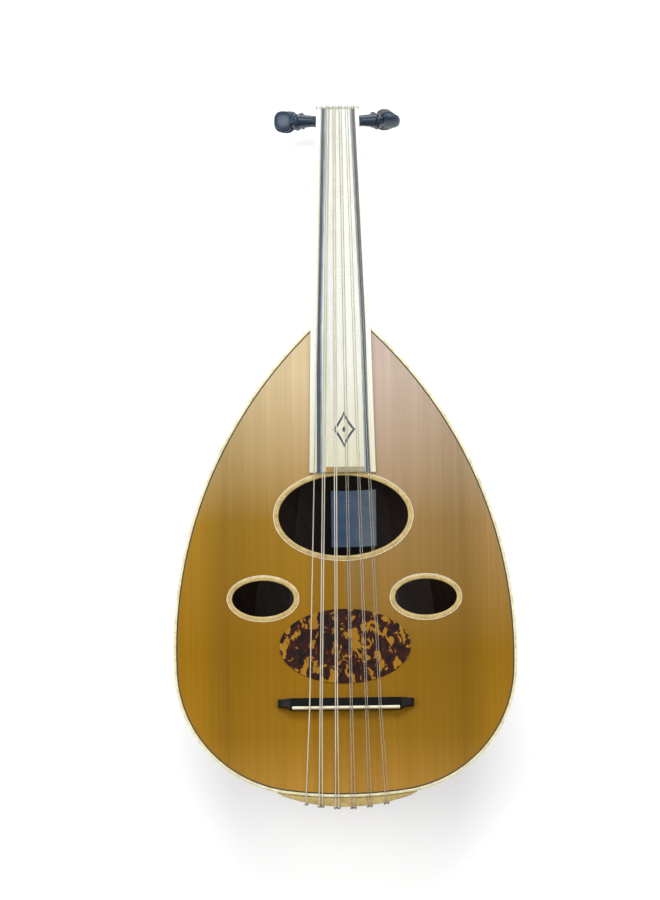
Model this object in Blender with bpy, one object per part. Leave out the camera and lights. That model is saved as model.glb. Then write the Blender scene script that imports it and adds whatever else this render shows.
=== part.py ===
"""An oud, lying on the back of its bowl with its face up.

X runs across the face, +Y along the neck towards the nut, and +Z out of the face. The model stands on
the flat bottom of the bowl's middle rib and on the flat end of the pegbox, both at z = 0.

Lengths along the instrument are counted from the tail edge of the face ("s" below), and the empty
"oud_frame" moves that point so that the origin lies below the middle of the whole instrument.
"""

from math import acos, asin, atan2, cos, hypot, pi, radians, sin, sqrt

import bmesh
import bpy
from mathutils import Matrix, Vector

MM = 0.001
GAP = 0.3 * MM  # between pieces that touch

# Outline of the face: a tail arc, a hip arc and a side arc, each tangent to the next
BODY_LENGTH = 480 * MM
HALF_WIDTH = 170 * MM
WIDEST_S = 148 * MM
JOINT_HALF_WIDTH = 30 * MM
TAIL_RADIUS = 420 * MM
HIP_RADIUS = 129 * MM

# Bowl
RIB_COUNT = 13
RIB_THICKNESS = 3 * MM
DEPTH_RATIO = 1.06  # depth of the bowl over half its width, at each section
TAIL_TUCK = 0.17  # how far the tail end leans in, per unit of depth
RIB_TIP_HALF_WIDTH = 40 * MM  # the ribs start here, under the end clasp
FLAT_HALF_ANGLE = radians(2.4)  # half of the flat stretch of the middle rib that the bowl rests on

# Face
BOARD_THICKNESS = 2 * MM
BINDING_WIDTH = 3.5 * MM
MAIN_HOLE_S = 284.2 * MM
MAIN_HOLE_RADII = (64.7 * MM, 41.1 * MM)
SMALL_HOLE_S = 200.4 * MM
SMALL_HOLE_X = 80.8 * MM
SMALL_HOLE_RADII = (30.7 * MM, 18.4 * MM)
RING_WIDTH = 4.7 * MM
RING_THICKNESS = 1.2 * MM
GUARD_S = 151.3 * MM
GUARD_RADII = (65 * MM, 37.6 * MM)
GUARD_THICKNESS = 0.8 * MM
BRACES_S = [50 * MM, 90 * MM, 132 * MM, 167 * MM, 230.5 * MM, 335 * MM, 405 * MM]
BRACE_WIDTH = 6 * MM
BRACE_HEIGHT = 13 * MM

# Bridge
BRIDGE_HALF_LENGTH = 67 * MM
BRIDGE_S = (89.4 * MM, 97.7 * MM)
BRIDGE_LIP_S = 86.3 * MM  # tail edge of the lip that the saddle stands on
SADDLE_HALF_LENGTH = 53 * MM
SADDLE_S = (86.6 * MM, 89.2 * MM)
BRIDGE_HEIGHT = 9.5 * MM
BRIDGE_END_HEIGHT = 4.5 * MM
SADDLE_SEAT_HEIGHT = 4 * MM
SADDLE_HEIGHT = 11 * MM

# Neck and fingerboard
NUT_S = 712 * MM
NUT_HALF_WIDTH = 21.5 * MM
NUT_THICKNESS = 2.4 * MM
NUT_HEIGHT = 4.3 * MM
NECK_NUT_DEPTH = 22 * MM
NECK_CUT_SLOPE = 1.1  # slant of the neck's end, over which the pegbox is glued
BOARD_HALF_WIDTHS = (33.2 * MM, 30.2 * MM, NUT_HALF_WIDTH)  # at the soundhole, at the joint, at the nut
FINGERBOARD_START_S = 327.5 * MM
FINGERBOARD_THICKNESS = 2.5 * MM
HOLLOW = 21 * MM  # half the width of the hollow in the fingerboard's end

# Pegbox: "t" runs along it from the nut, "n" out of its open front
PEGBOX_BEND = radians(75)
PEGBOX_TOP_S = 713.4 * MM
PEGBOX_DEPTHS = (28 * MM, 20 * MM)  # front to back, at the nut and at the tip
PEGBOX_HALF_WIDTHS = (22 * MM, 13 * MM)
CHEEK_THICKNESS = 4.5 * MM
FLOOR_THICKNESS = 5 * MM
PEGBOX_SWAY = 2.5 * MM  # how far the cheeks swing back and forward along their length
TIP_T = 171 * MM

# Pegs
PEG_COUNT = 11
BASS_PEGS = 6  # pegs 1 to 6 have their heads on the bass side, the rest on the treble side
FIRST_PEG_T = 31 * MM
PEG_PITCH = 12.7 * MM
PEG_HEAD_RADIUS = 4.4 * MM  # of the shaft where it enters the head's cheek
PEG_TIP_RADIUS = 3.3 * MM
PEG_TIP_OVERHANG = 2 * MM
PEG_STEM_LENGTH = 23.3 * MM
PADDLE_HALF_LENGTH = 9.4 * MM
PADDLE_HALF_WIDTH = 11.8 * MM
PADDLE_HALF_THICKNESS = 4 * MM
PADDLE_OVERLAP = 2.6 * MM  # of the paddle's near edge past the collar
PEG_TURNS = [8, 50, -35, 72, 20, -60, 40, -25, 65, -78, 80]  # degrees, as the pegs stand when tuned
PEG_CLEARANCE = 0.35 * MM
PEG_SET_BACK = 1 * MM  # from the middle of the channel towards its floor

# Strings: a single bass and five pairs
NUT_COURSES = [-16.2 * MM, -9.8 * MM, -3.5 * MM, 2.8 * MM, 9.1 * MM, 15.4 * MM]
BRIDGE_COURSES = [-35.8 * MM, -24.6 * MM, -9.4 * MM, 5.2 * MM, 20.2 * MM, 33.6 * MM]
TAIL_COURSES = [-40.4 * MM, -26 * MM, -10 * MM, 6 * MM, 22 * MM, 38.5 * MM]
PAIR_HALF_GAPS = (1.2 * MM, 1 * MM, 1.6 * MM)  # at the nut, bridge and tail
STRING_RADII = [0.6 * MM, 0.55 * MM, 0.5 * MM, 0.45 * MM, 0.4 * MM, 0.38 * MM]  # by course

# End clasp and inner blocks
CLASP_HALF_WIDTH = 69 * MM
CLASP_BULGE = 7.6 * MM
CLASP_EDGE = 1.2 * MM
CLASP_DEPTH = 50 * MM
CLASP_DROP = 1.5 * MM  # its top lies this far below the face
TAIL_BLOCK_HALF_WIDTH = 62 * MM
TAIL_BLOCK_DEPTH = 62 * MM
TAIL_BLOCK_BACK_S = 34 * MM
NECK_BLOCK_S = (448 * MM, 479.2 * MM)

COLOURS = {
    "spruce": (0.62, 0.42, 0.17), "maple": (0.86, 0.76, 0.50), "ebony": (0.03, 0.03, 0.04),
    "bone": (0.85, 0.80, 0.68), "walnut": (0.22, 0.11, 0.06), "pale_maple": (0.88, 0.86, 0.78),
    "mahogany": (0.35, 0.16, 0.08), "tortoiseshell": (0.25, 0.08, 0.02), "pine": (0.72, 0.56, 0.36),
    "wound_string": (0.75, 0.75, 0.77), "nylon": (0.82, 0.80, 0.72),
}
ROUGHNESS = {"ebony": 0.3, "tortoiseshell": 0.2, "bone": 0.35, "wound_string": 0.3, "nylon": 0.25}

SIDE_RADIUS = ((BODY_LENGTH - WIDEST_S) ** 2 + (HALF_WIDTH - JOINT_HALF_WIDTH) ** 2) / (
    2 * (HALF_WIDTH - JOINT_HALF_WIDTH)
)
RIB_ANGLE = pi / RIB_COUNT


# ---------------------------------------------------------------- outline of the face


def circle_centre(near, near_distance, far, far_distance):
    """The centre at two given distances from two other centres, on the treble side."""
    dx, ds = far[0] - near[0], far[1] - near[1]
    apart = hypot(dx, ds)
    along = (near_distance**2 - far_distance**2 + apart**2) / (2 * apart)
    across = sqrt(near_distance**2 - along**2)
    foot = (near[0] + along * dx / apart, near[1] + along * ds / apart)
    shift = (across * ds / apart, -across * dx / apart)
    return max((foot[0] + side * shift[0], foot[1] + side * shift[1]) for side in (1, -1))


SIDE_CENTRE = (HALF_WIDTH - SIDE_RADIUS, WIDEST_S)
TAIL_CENTRE = (0.0, TAIL_RADIUS)
HIP_CENTRE = circle_centre(SIDE_CENTRE, SIDE_RADIUS - HIP_RADIUS, TAIL_CENTRE, TAIL_RADIUS - HIP_RADIUS)

# Directions of the outward normal, from the tail round to +X, where one arc meets the next
TAIL_END = atan2(HIP_CENTRE[0] - TAIL_CENTRE[0], TAIL_CENTRE[1] - HIP_CENTRE[1])
HIP_END = atan2(HIP_CENTRE[0] - SIDE_CENTRE[0], SIDE_CENTRE[1] - HIP_CENTRE[1])


def rim_point(angle, inset=0.0):
    """(x, s) on the face's outline where its outward normal has this angle, moved in by the inset."""
    if angle <= TAIL_END:
        centre, radius = TAIL_CENTRE, TAIL_RADIUS
    elif angle <= HIP_END:
        centre, radius = HIP_CENTRE, HIP_RADIUS
    else:
        centre, radius = SIDE_CENTRE, SIDE_RADIUS
    return centre[0] + (radius - inset) * sin(angle), centre[1] - (radius - inset) * cos(angle)


def tail_angle(half_width, inset=0.0):
    """The outline's normal angle at the tail end where the half width is this."""
    on_tail_arc = half_width / (TAIL_RADIUS - inset)
    if on_tail_arc <= sin(TAIL_END):
        return asin(on_tail_arc)
    return asin(min(1.0, (half_width - HIP_CENTRE[0]) / (HIP_RADIUS - inset)))


def spread(first, last, count):
    """Evenly spaced values from first to last, both included."""
    return [first + (last - first) * i / (count - 1) for i in range(count)]


def half_width_at(s, inset=0.0):
    """Half the width of the face at s on the side arc or the hip arc, moved in by the inset."""
    on_side = s >= rim_point(HIP_END, inset)[1]
    centre, radius = (SIDE_CENTRE, SIDE_RADIUS) if on_side else (HIP_CENTRE, HIP_RADIUS)
    return centre[0] + sqrt((radius - inset) ** 2 - (s - centre[1]) ** 2)


def outline(inset, steps=(5, 26, 22)):
    """Half the face's outline, from the tail's middle to the neck joint."""
    end = acos((WIDEST_S - BODY_LENGTH) / (SIDE_RADIUS - inset))
    angles = spread(0, TAIL_END, steps[0])[:-1] + spread(TAIL_END, HIP_END, steps[1])[:-1]
    return [rim_point(a, inset) for a in angles + spread(HIP_END, end, steps[2])]


def both_sides(half):
    """A closed loop from half of one that starts on the middle line."""
    return half + [(-x, s) for x, s in reversed(half[1:])]


def ellipse(radii, centre=(0.0, 0.0), steps=44):
    return [
        (centre[0] + radii[0] * cos(2 * pi * i / steps), centre[1] + radii[1] * sin(2 * pi * i / steps))
        for i in range(steps)
    ]


# ---------------------------------------------------------------- levels

RIM_DROP = BOARD_THICKNESS + GAP  # from the face down to the top of the ribs
FLAT_HALF_WIDTH = rim_point(pi / 2 - FLAT_HALF_ANGLE)[0]
MIDDLE_RIB_EDGE = pi / 2 - RIB_ANGLE / 2 + GAP / 2 / FLAT_HALF_WIDTH  # the turn of its edge
RIM_Z = DEPTH_RATIO * FLAT_HALF_WIDTH * sin(MIDDLE_RIB_EDGE)
FACE_Z = RIM_Z + RIM_DROP
FINGERBOARD_Z = FACE_Z + GAP + FINGERBOARD_THICKNESS

PEGBOX_ALONG = (cos(PEGBOX_BEND), -sin(PEGBOX_BEND))
PEGBOX_FRONT = (sin(PEGBOX_BEND), cos(PEGBOX_BEND))


def sway(t):
    """Forward shift of the pegbox at t, which gives it its shallow S shape."""
    return -PEGBOX_SWAY * sin(2 * pi * t / (TIP_T + 18 * MM))


def pegbox_point(t, n):
    """(s, z) of a point of the pegbox."""
    n = n + sway(t)
    s = PEGBOX_TOP_S + t * PEGBOX_ALONG[0] + n * PEGBOX_FRONT[0]
    return s, FACE_Z + t * PEGBOX_ALONG[1] + n * PEGBOX_FRONT[1]


def pegbox_t_at_floor(n):
    """t where a line at n reaches z = 0."""
    t = TIP_T
    for _ in range(20):
        t += pegbox_point(t, n)[1] / sin(PEGBOX_BEND)
    return t


def taper(pair, t):
    """A pegbox measure at t, between its value at the nut and at the tip."""
    return pair[0] + (pair[1] - pair[0]) * min(1.0, max(0.0, t / TIP_T))


FAR_S = pegbox_point(pegbox_t_at_floor(0.0), 0.0)[0]
TAIL_S = -(CLASP_EDGE + CLASP_BULGE + GAP + 1.5 * MM)
MIDDLE_S = (FAR_S + TAIL_S) / 2


# ---------------------------------------------------------------- scene helpers


def clear_scene():
    for obj in list(bpy.data.objects):
        bpy.data.objects.remove(obj, do_unlink=True)


def new_collection(name):
    collection = bpy.data.collections.new(name)
    bpy.context.scene.collection.children.link(collection)
    return collection


clear_scene()
OUD = new_collection("oud")
CUTTERS = new_collection("cutters")
MATERIALS = {}


def material(name):
    if name not in MATERIALS:
        made = bpy.data.materials.new(name)
        made.use_nodes = True
        shader = made.node_tree.nodes["Principled BSDF"]
        shader.inputs["Base Color"].default_value = (*COLOURS[name], 1)
        shader.inputs["Roughness"].default_value = ROUGHNESS.get(name, 0.45)
        shader.inputs["Metallic"].default_value = 1.0 if name == "wound_string" else 0.0
        MATERIALS[name] = made
    return MATERIALS[name]


def new_empty(name, location, parent=None):
    empty = bpy.data.objects.new(name, None)
    empty.location = location
    empty.parent = parent
    OUD.objects.link(empty)
    return empty


FRAME = new_empty("oud_frame", (0, -MIDDLE_S, 0))


def add_piece(name, mesh, material_name, parent=FRAME, smooth=False):
    """Put a finished mesh into the model as one named piece."""
    mesh.name = name
    mesh.materials.clear()
    mesh.materials.append(material(material_name))
    if smooth:
        mesh.shade_smooth()
        mesh.set_sharp_from_angle(angle=radians(35))
    obj = bpy.data.objects.new(name, mesh)
    obj.parent = parent
    OUD.objects.link(obj)
    return obj


def mesh_from(bm, name="mesh"):
    """Close a bmesh's normals outwards and turn it into a mesh."""
    bmesh.ops.recalc_face_normals(bm, faces=bm.faces)
    mesh = bpy.data.meshes.new(name)
    bm.to_mesh(mesh)
    bm.free()
    return mesh


def curve_mesh(curve, matrix=None):
    """The mesh of a curve, with its caps welded on."""
    obj = bpy.data.objects.new("curve", curve)
    bpy.context.scene.collection.objects.link(obj)
    depsgraph = bpy.context.evaluated_depsgraph_get()
    mesh = bpy.data.meshes.new_from_object(obj.evaluated_get(depsgraph))
    bpy.data.objects.remove(obj, do_unlink=True)
    bpy.data.curves.remove(curve)
    bm = bmesh.new()
    bm.from_mesh(mesh)
    bpy.data.meshes.remove(mesh)
    bmesh.ops.remove_doubles(bm, verts=bm.verts, dist=0.01 * MM)
    if matrix is not None:
        bmesh.ops.transform(bm, matrix=matrix, verts=bm.verts)
    return mesh_from(bm)


def plate_mesh(loops, low, high, upright=False):
    """A flat outline, with any holes, as thick as from low to high.

    A plate lies flat, its outline in (x, s) and its thickness in z. An upright one has its outline in
    (x, z) and its thickness in s.
    """
    curve = bpy.data.curves.new("outline", "CURVE")
    curve.dimensions = "2D"
    curve.fill_mode = "BOTH"
    curve.extrude = (high - low) / 2
    for loop in loops:
        spline = curve.splines.new("POLY")
        spline.points.add(len(loop) - 1)
        for point, (u, v) in zip(spline.points, loop):
            point.co = (u, v, 0, 1)
        spline.use_cyclic_u = True
    matrix = Matrix.Translation((0, 0, (low + high) / 2))
    if upright:
        matrix = Matrix.Translation((0, (low + high) / 2, 0)) @ Matrix.Rotation(pi / 2, 4, "X")
    return curve_mesh(curve, matrix)


def rod_mesh(points, radius, sides_level=1):
    """A thin round rod along a list of points."""
    curve = bpy.data.curves.new("route", "CURVE")
    curve.dimensions = "3D"
    curve.bevel_depth = radius
    curve.bevel_resolution = sides_level
    curve.use_fill_caps = True
    spline = curve.splines.new("POLY")
    spline.points.add(len(points) - 1)
    for point, place in zip(spline.points, points):
        point.co = (*place, 1)
    return curve_mesh(curve)


def loft_mesh(sections):
    """A closed solid through a row of sections, each a closed loop with the same number of points."""
    bm = bmesh.new()
    rings = [[bm.verts.new(point) for point in section] for section in sections]
    count = len(rings[0])
    for near, far in zip(rings, rings[1:]):
        for i in range(count):
            j = (i + 1) % count
            bm.faces.new((near[i], near[j], far[j], far[i]))
    bm.faces.new(list(reversed(rings[0])))
    bm.faces.new(rings[-1])
    return mesh_from(bm)


def cutter(name, mesh):
    obj = bpy.data.objects.new(name, mesh)
    obj.parent = FRAME
    obj.hide_render = True
    obj.display_type = "WIRE"
    CUTTERS.objects.link(obj)
    return obj


def cut(piece, tool, operation="DIFFERENCE"):
    boolean = piece.modifiers.new(tool.name, "BOOLEAN")
    boolean.operation = operation
    boolean.solver = "EXACT"
    boolean.object = tool
    return boolean


def box_mesh(low, high):
    bm = bmesh.new()
    bmesh.ops.create_cube(bm, size=1)
    size = Vector(high) - Vector(low)
    centre = (Vector(high) + Vector(low)) / 2
    bmesh.ops.transform(bm, matrix=Matrix.Translation(centre) @ Matrix.Diagonal((*size, 1)), verts=bm.verts)
    return mesh_from(bm)


# ---------------------------------------------------------------- face


HOLES = {
    "soundhole_ring_main": ((0.0, MAIN_HOLE_S), MAIN_HOLE_RADII, 56),
    "soundhole_ring_bass": ((-SMALL_HOLE_X, SMALL_HOLE_S), SMALL_HOLE_RADII, 36),
    "soundhole_ring_treble": ((SMALL_HOLE_X, SMALL_HOLE_S), SMALL_HOLE_RADII, 36),
}


def grown(radii, amount):
    return radii[0] + amount, radii[1] + amount


def make_soundboard():
    """The face's plate, with three holes and a rebate round each for its ring."""
    edge = both_sides(outline(BINDING_WIDTH + GAP))
    holes = [ellipse(grown(radii, 1 * MM), centre, steps) for centre, radii, steps in HOLES.values()]
    board = add_piece("soundboard", plate_mesh([edge] + holes, FACE_Z - BOARD_THICKNESS, FACE_Z), "spruce")
    for name, (centre, radii, steps) in HOLES.items():
        loop = ellipse(grown(radii, RING_WIDTH + GAP), centre, steps)
        low = FACE_Z - RING_THICKNESS - GAP
        cut(board, cutter(name + "_rebate", plate_mesh([loop], low, FACE_Z + 2 * MM)))


def make_rings():
    for name, (centre, radii, steps) in HOLES.items():
        loops = [ellipse(grown(radii, RING_WIDTH), centre, steps), ellipse(radii, centre, steps)]
        add_piece(name, plate_mesh(loops, FACE_Z - RING_THICKNESS, FACE_Z), "maple")


def make_edge_binding():
    """A strip round the face from one side of the neck to the other."""
    outer = outline(0.0)
    inner = outline(BINDING_WIDTH)
    outer_path = [(-x, s) for x, s in reversed(outer[1:])] + outer
    inner_path = [(-x, s) for x, s in reversed(inner[1:])] + inner
    loop = outer_path + list(reversed(inner_path))
    add_piece("edge_binding", plate_mesh([loop], FACE_Z - BOARD_THICKNESS, FACE_Z), "maple")


def make_guard():
    loop = ellipse(GUARD_RADII, (0.0, GUARD_S), 48)
    low = FACE_Z + GAP
    add_piece("plectrum_guard", plate_mesh([loop], low, low + GUARD_THICKNESS), "tortoiseshell")


def make_braces():
    """Bars glued across the underside of the face, lower towards their ends."""
    top = FACE_Z - RIM_DROP
    for number, s in enumerate(BRACES_S, start=1):
        narrowest = min(half_width_at(s + side * BRACE_WIDTH / 2, RIB_THICKNESS) for side in (1, -1))
        half = narrowest - 4.5 * MM
        ramp = 28 * MM
        low = top - BRACE_HEIGHT
        loop = [(-half, top), (-half, top - 4 * MM), (-half + ramp, low), (half - ramp, low)]
        loop += [(half, top - 4 * MM), (half, top)]
        mesh = plate_mesh([loop], s - BRACE_WIDTH / 2, s + BRACE_WIDTH / 2, upright=True)
        add_piece(f"brace_{number}", mesh, "pine")


# ---------------------------------------------------------------- bowl


def bowl_point(angle, turn, inset=0.0, side_gap=0.0):
    """A point of the bowl: the outline's normal angle along it, and the turn from the treble rim round it.

    The side gap moves the point along the section, away from the rib's neighbour.
    """
    x, s = rim_point(angle, inset)
    turn += side_gap / x
    depth = DEPTH_RATIO * x * sin(turn)
    return Vector((x * cos(turn), s + TAIL_TUCK * max(0.0, cos(angle)) * depth, RIM_Z - depth))


def rib_stations():
    first = tail_angle(RIB_TIP_HALF_WIDTH)
    flat = (pi / 2 - FLAT_HALF_ANGLE, pi / 2 + FLAT_HALF_ANGLE)
    last = acos((WIDEST_S - BODY_LENGTH + 0.6 * MM) / SIDE_RADIUS)
    return spread(first, flat[0], 10) + spread(flat[1], last, 9)


def make_ribs():
    """Thirteen bent staves. Each has flat facets between its stations."""
    for number in range(RIB_COUNT):
        low, high = number * RIB_ANGLE, (number + 1) * RIB_ANGLE
        low_gap = GAP / 2 if number else 0.0
        high_gap = GAP / 2 if number < RIB_COUNT - 1 else 0.0
        sections = [
            [
                bowl_point(angle, low, 0.0, low_gap),
                bowl_point(angle, high, 0.0, -high_gap),
                bowl_point(angle, high, RIB_THICKNESS, -high_gap),
                bowl_point(angle, low, RIB_THICKNESS, low_gap),
            ]
            for angle in rib_stations()
        ]
        add_piece(f"rib_{number + 1:02d}", loft_mesh(sections), "walnut")


def bowl_s(x, depth, inset=0.0):
    """s of the bowl's tail end at this x and depth below the rim, moved in by the inset."""
    half_width = hypot(x, max(0.0, depth) / DEPTH_RATIO)
    angle = tail_angle(half_width, inset)
    return rim_point(angle, inset)[1] + TAIL_TUCK * cos(angle) * max(0.0, depth)


def tail_slab(half_width, top_drop, depth_at, outer, inner, columns=25, rows=8):
    """A closed solid between two surfaces s = outer(x, depth) and s = inner(x, depth)."""
    sections = []
    for x in spread(-half_width, half_width, columns):
        depths = spread(top_drop, depth_at(x), rows)
        loop = [Vector((x, outer(x, depth), RIM_Z - depth)) for depth in depths]
        loop += [Vector((x, inner(x, depth), RIM_Z - depth)) for depth in reversed(depths)]
        sections.append(loop)
    return loft_mesh(sections)


def clasp_depth(x):
    return 4 * MM + (CLASP_DEPTH - 4 * MM) * (1 - (x / CLASP_HALF_WIDTH) ** 2)


def clasp_outer(x, depth):
    """Outer surface of the end clasp, thickest at the middle of its top edge."""
    along = 1 - (x / CLASP_HALF_WIDTH) ** 2
    down = sqrt(max(0.0, 1 - (max(0.0, depth) / clasp_depth(x)) ** 2))
    return bowl_s(x, depth) - GAP - CLASP_EDGE - CLASP_BULGE * along * down


def make_end_clasp():
    mesh = tail_slab(
        CLASP_HALF_WIDTH, CLASP_DROP - RIM_DROP, clasp_depth, clasp_outer,
        lambda x, depth: bowl_s(x, depth) - GAP,
    )
    add_piece("end_clasp", mesh, "maple", smooth=True)


def make_tail_block():
    """The block inside the tail that the ribs, the clasp and the face are glued to."""

    def depth_at(x):
        return TAIL_BLOCK_DEPTH * sqrt(1 - 0.75 * (x / TAIL_BLOCK_HALF_WIDTH) ** 2)

    mesh = tail_slab(
        TAIL_BLOCK_HALF_WIDTH, 0.0, depth_at,
        lambda x, depth: bowl_s(x, depth, RIB_THICKNESS) + 1.6 * MM,
        lambda x, depth: TAIL_BLOCK_BACK_S,
        columns=15, rows=6,
    )
    add_piece("tail_block", mesh, "pine")


def half_round(s, half_width, depth, top, cut_slope=0.0, steps=14):
    """A section flat on top and half an ellipse below. A cut slope leans it back with depth."""
    loop = []
    for i in range(steps + 1):
        turn = pi * i / steps
        down = depth * sin(turn)
        loop.append(Vector((half_width * cos(turn), s - cut_slope * down, top - down)))
    return loop


def make_neck_block():
    """The block inside the bowl's narrow end."""
    sections = []
    for s in spread(*NECK_BLOCK_S, 4):
        half = half_width_at(s, RIB_THICKNESS) - 1.2 * MM
        sections.append(half_round(s, half, DEPTH_RATIO * (half - 0.5 * MM), RIM_Z))
    add_piece("neck_block", loft_mesh(sections), "pine")


# ---------------------------------------------------------------- neck


def make_neck():
    start = BODY_LENGTH + GAP
    joint_depth = DEPTH_RATIO * JOINT_HALF_WIDTH + RIM_DROP
    sections = []
    for i in range(6):
        share = i / 5
        s = start + (NUT_S - start) * share
        half = JOINT_HALF_WIDTH + (NUT_HALF_WIDTH - JOINT_HALF_WIDTH) * share
        depth = joint_depth + (NECK_NUT_DEPTH - joint_depth) * share
        sections.append(half_round(s, half, depth, FACE_Z, NECK_CUT_SLOPE if i == 5 else 0.0))
    add_piece("neck", loft_mesh(sections), "mahogany", smooth=True)


def make_fingerboard():
    """A thin plate over the neck that runs on over the face and ends round the main soundhole's ring."""
    end = NUT_S - NUT_THICKNESS - GAP
    places = (FINGERBOARD_START_S, BODY_LENGTH, end)
    half = list(zip(BOARD_HALF_WIDTHS, places))
    across, along = grown(MAIN_HOLE_RADII, RING_WIDTH + GAP)
    hollow = [(x, MAIN_HOLE_S + along * sqrt(1 - (x / across) ** 2)) for x in spread(-HOLLOW, HOLLOW, 7)]
    loop = half + [(-x, s) for x, s in reversed(half)] + hollow
    add_piece("fingerboard", plate_mesh([loop], FACE_Z + GAP, FINGERBOARD_Z), "pale_maple")


def make_nut():
    low = FACE_Z + GAP
    loop = [
        (NUT_S - NUT_THICKNESS, low), (NUT_S, low), (NUT_S, FACE_Z + NUT_HEIGHT - 1.2 * MM),
        (NUT_S - 0.6 * MM, FACE_Z + NUT_HEIGHT - 0.2 * MM), (NUT_S - 1.2 * MM, FACE_Z + NUT_HEIGHT),
        (NUT_S - NUT_THICKNESS, FACE_Z + NUT_HEIGHT - 0.4 * MM),
    ]
    sections = [
        [Vector((x, s, z)) for s, z in loop] for x in (-NUT_HALF_WIDTH + 0.3 * MM, NUT_HALF_WIDTH - 0.3 * MM)
    ]
    add_piece("nut", loft_mesh(sections), "bone")


# ---------------------------------------------------------------- pegbox


def place(x, t, n):
    s, z = pegbox_point(t, n)
    return Vector((x, s, z))


def pegbox_stations():
    return spread(14 * MM, TIP_T, 8)


def neck_cut_t(n):
    """t where the slanted end of the neck is, with its gap, for a line at n."""
    t = 0.0
    for _ in range(30):
        s, z = pegbox_point(t, n)
        clear = s - (NUT_S + 0.5 * MM) + NECK_CUT_SLOPE * (FACE_Z - z)
        t -= clear / (PEGBOX_ALONG[0] - NECK_CUT_SLOPE * PEGBOX_ALONG[1])
    return t


def pegbox_wall(inner_x, outer_x, front_n, back_n, end_t=TIP_T):
    """A wall of the pegbox, from the slanted end of the neck to the tip block."""
    sections = []
    top_front, top_back = neck_cut_t(front_n(0.0)), neck_cut_t(back_n(0.0))
    top_front = max(top_front, 0.6 * MM)
    for index, t in enumerate([0.0] + [s for s in pegbox_stations() if s < end_t - 1e-6] + [end_t]):
        front, back = (top_front, top_back) if index == 0 else (t, max(t, top_back + 1e-4))
        sections.append(
            [
                place(inner_x(front), front, front_n(front)),
                place(outer_x(front), front, front_n(front)),
                place(outer_x(back), back, back_n(back)),
                place(inner_x(back), back, back_n(back)),
            ]
        )
    return loft_mesh(sections)


def box_half_width(t):
    return taper(PEGBOX_HALF_WIDTHS, t)


def box_inner_half_width(t):
    return box_half_width(t) - CHEEK_THICKNESS


def peg_radius(x):
    """Radius of a peg's shaft at x, for a peg with its head on the +X side."""
    reach = PEGBOX_HALF_WIDTHS[0]
    return PEG_TIP_RADIUS + (PEG_HEAD_RADIUS - PEG_TIP_RADIUS) * (x + reach) / (2 * reach)


def peg_slot(number):
    """Place of a peg down the pegbox, counted from the nut: the outer strings have the nearest pegs."""
    return 2 * (number - 1) if number <= BASS_PEGS else 2 * (PEG_COUNT - number) + 1


def peg_t(number):
    return FIRST_PEG_T + PEG_PITCH * peg_slot(number)


def peg_n(number):
    """The pegs cross the channel a little behind the middle between its open front and its floor."""
    return (FLOOR_THICKNESS - taper(PEGBOX_DEPTHS, peg_t(number))) / 2 - PEG_SET_BACK


def peg_side(number):
    return -1 if number <= BASS_PEGS else 1


def shaft_cutter(number):
    """A tapered pin, a little wider than the peg, that opens its holes in both cheeks."""
    half = PEGBOX_HALF_WIDTHS[0] + 4 * MM
    side = peg_side(number)
    bm = bmesh.new()
    spin = Matrix.Rotation(side * pi / 2, 4, "Y")
    bmesh.ops.create_cone(
        bm, cap_ends=True, segments=16, depth=2 * half,
        radius1=peg_radius(-half) + PEG_CLEARANCE, radius2=peg_radius(half) + PEG_CLEARANCE,
    )
    s, z = pegbox_point(peg_t(number), peg_n(number))
    bmesh.ops.transform(bm, matrix=Matrix.Translation((0, s, z)) @ spin, verts=bm.verts)
    return cutter(f"peg_hole_{number:02d}", mesh_from(bm))


def make_pegbox():
    def back(t):
        return -taper(PEGBOX_DEPTHS, t)

    holes = [shaft_cutter(number) for number in range(1, PEG_COUNT + 1)]
    for name, side in (("pegbox_cheek_bass", -1), ("pegbox_cheek_treble", 1)):
        mesh = pegbox_wall(
            lambda t: side * box_inner_half_width(t), lambda t: side * box_half_width(t),
            lambda t: 0.0, back,
        )
        cheek = add_piece(name, mesh, "walnut")
        for hole in holes:
            cut(cheek, hole)
    mesh = pegbox_wall(
        lambda t: GAP - box_inner_half_width(t), lambda t: box_inner_half_width(t) - GAP,
        lambda t: back(t) + FLOOR_THICKNESS, back,
    )
    add_piece("pegbox_floor", mesh, "walnut")
    make_pegbox_tip(back)


def make_pegbox_tip(back):
    """The solid end of the pegbox, cut level where it stands on the ground."""
    half = PEGBOX_HALF_WIDTHS[1]
    top = TIP_T + GAP
    middle_n = back(TIP_T) / 2
    sections = []
    for x in (-half, half):
        corners = [(top, 0.0), (top, middle_n), (top, back(top))]
        corners += [(pegbox_t_at_floor(n), n) for n in (back(top), middle_n, 0.0)]
        loop = []
        for index, (t, n) in enumerate(corners):
            point = place(x, t, n)
            if index > 2:
                point.z = 0.0
            loop.append(point)
        sections.append(loop)
    add_piece("pegbox_tip", loft_mesh(sections), "walnut")


# ---------------------------------------------------------------- pegs


def peg_profile(tip_x, cheek_x):
    """(x, radius) along a peg with its head on the +X side, from the tip to inside the paddle."""
    stem = cheek_x + PEG_STEM_LENGTH
    return [
        (tip_x, PEG_TIP_RADIUS - 0.6 * MM),
        (tip_x + 0.8 * MM, peg_radius(tip_x)),
        (cheek_x + 1.5 * MM, peg_radius(cheek_x)),
        (cheek_x + 3 * MM, 5.4 * MM),
        (stem - 3 * MM, 5.9 * MM),
        (stem - 2.4 * MM, 8.2 * MM),
        (stem + 0.6 * MM, 8.4 * MM),
        (stem + 1.6 * MM, 4.6 * MM),
        (stem + PADDLE_OVERLAP + 3 * MM, 3.4 * MM),
    ]


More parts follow.
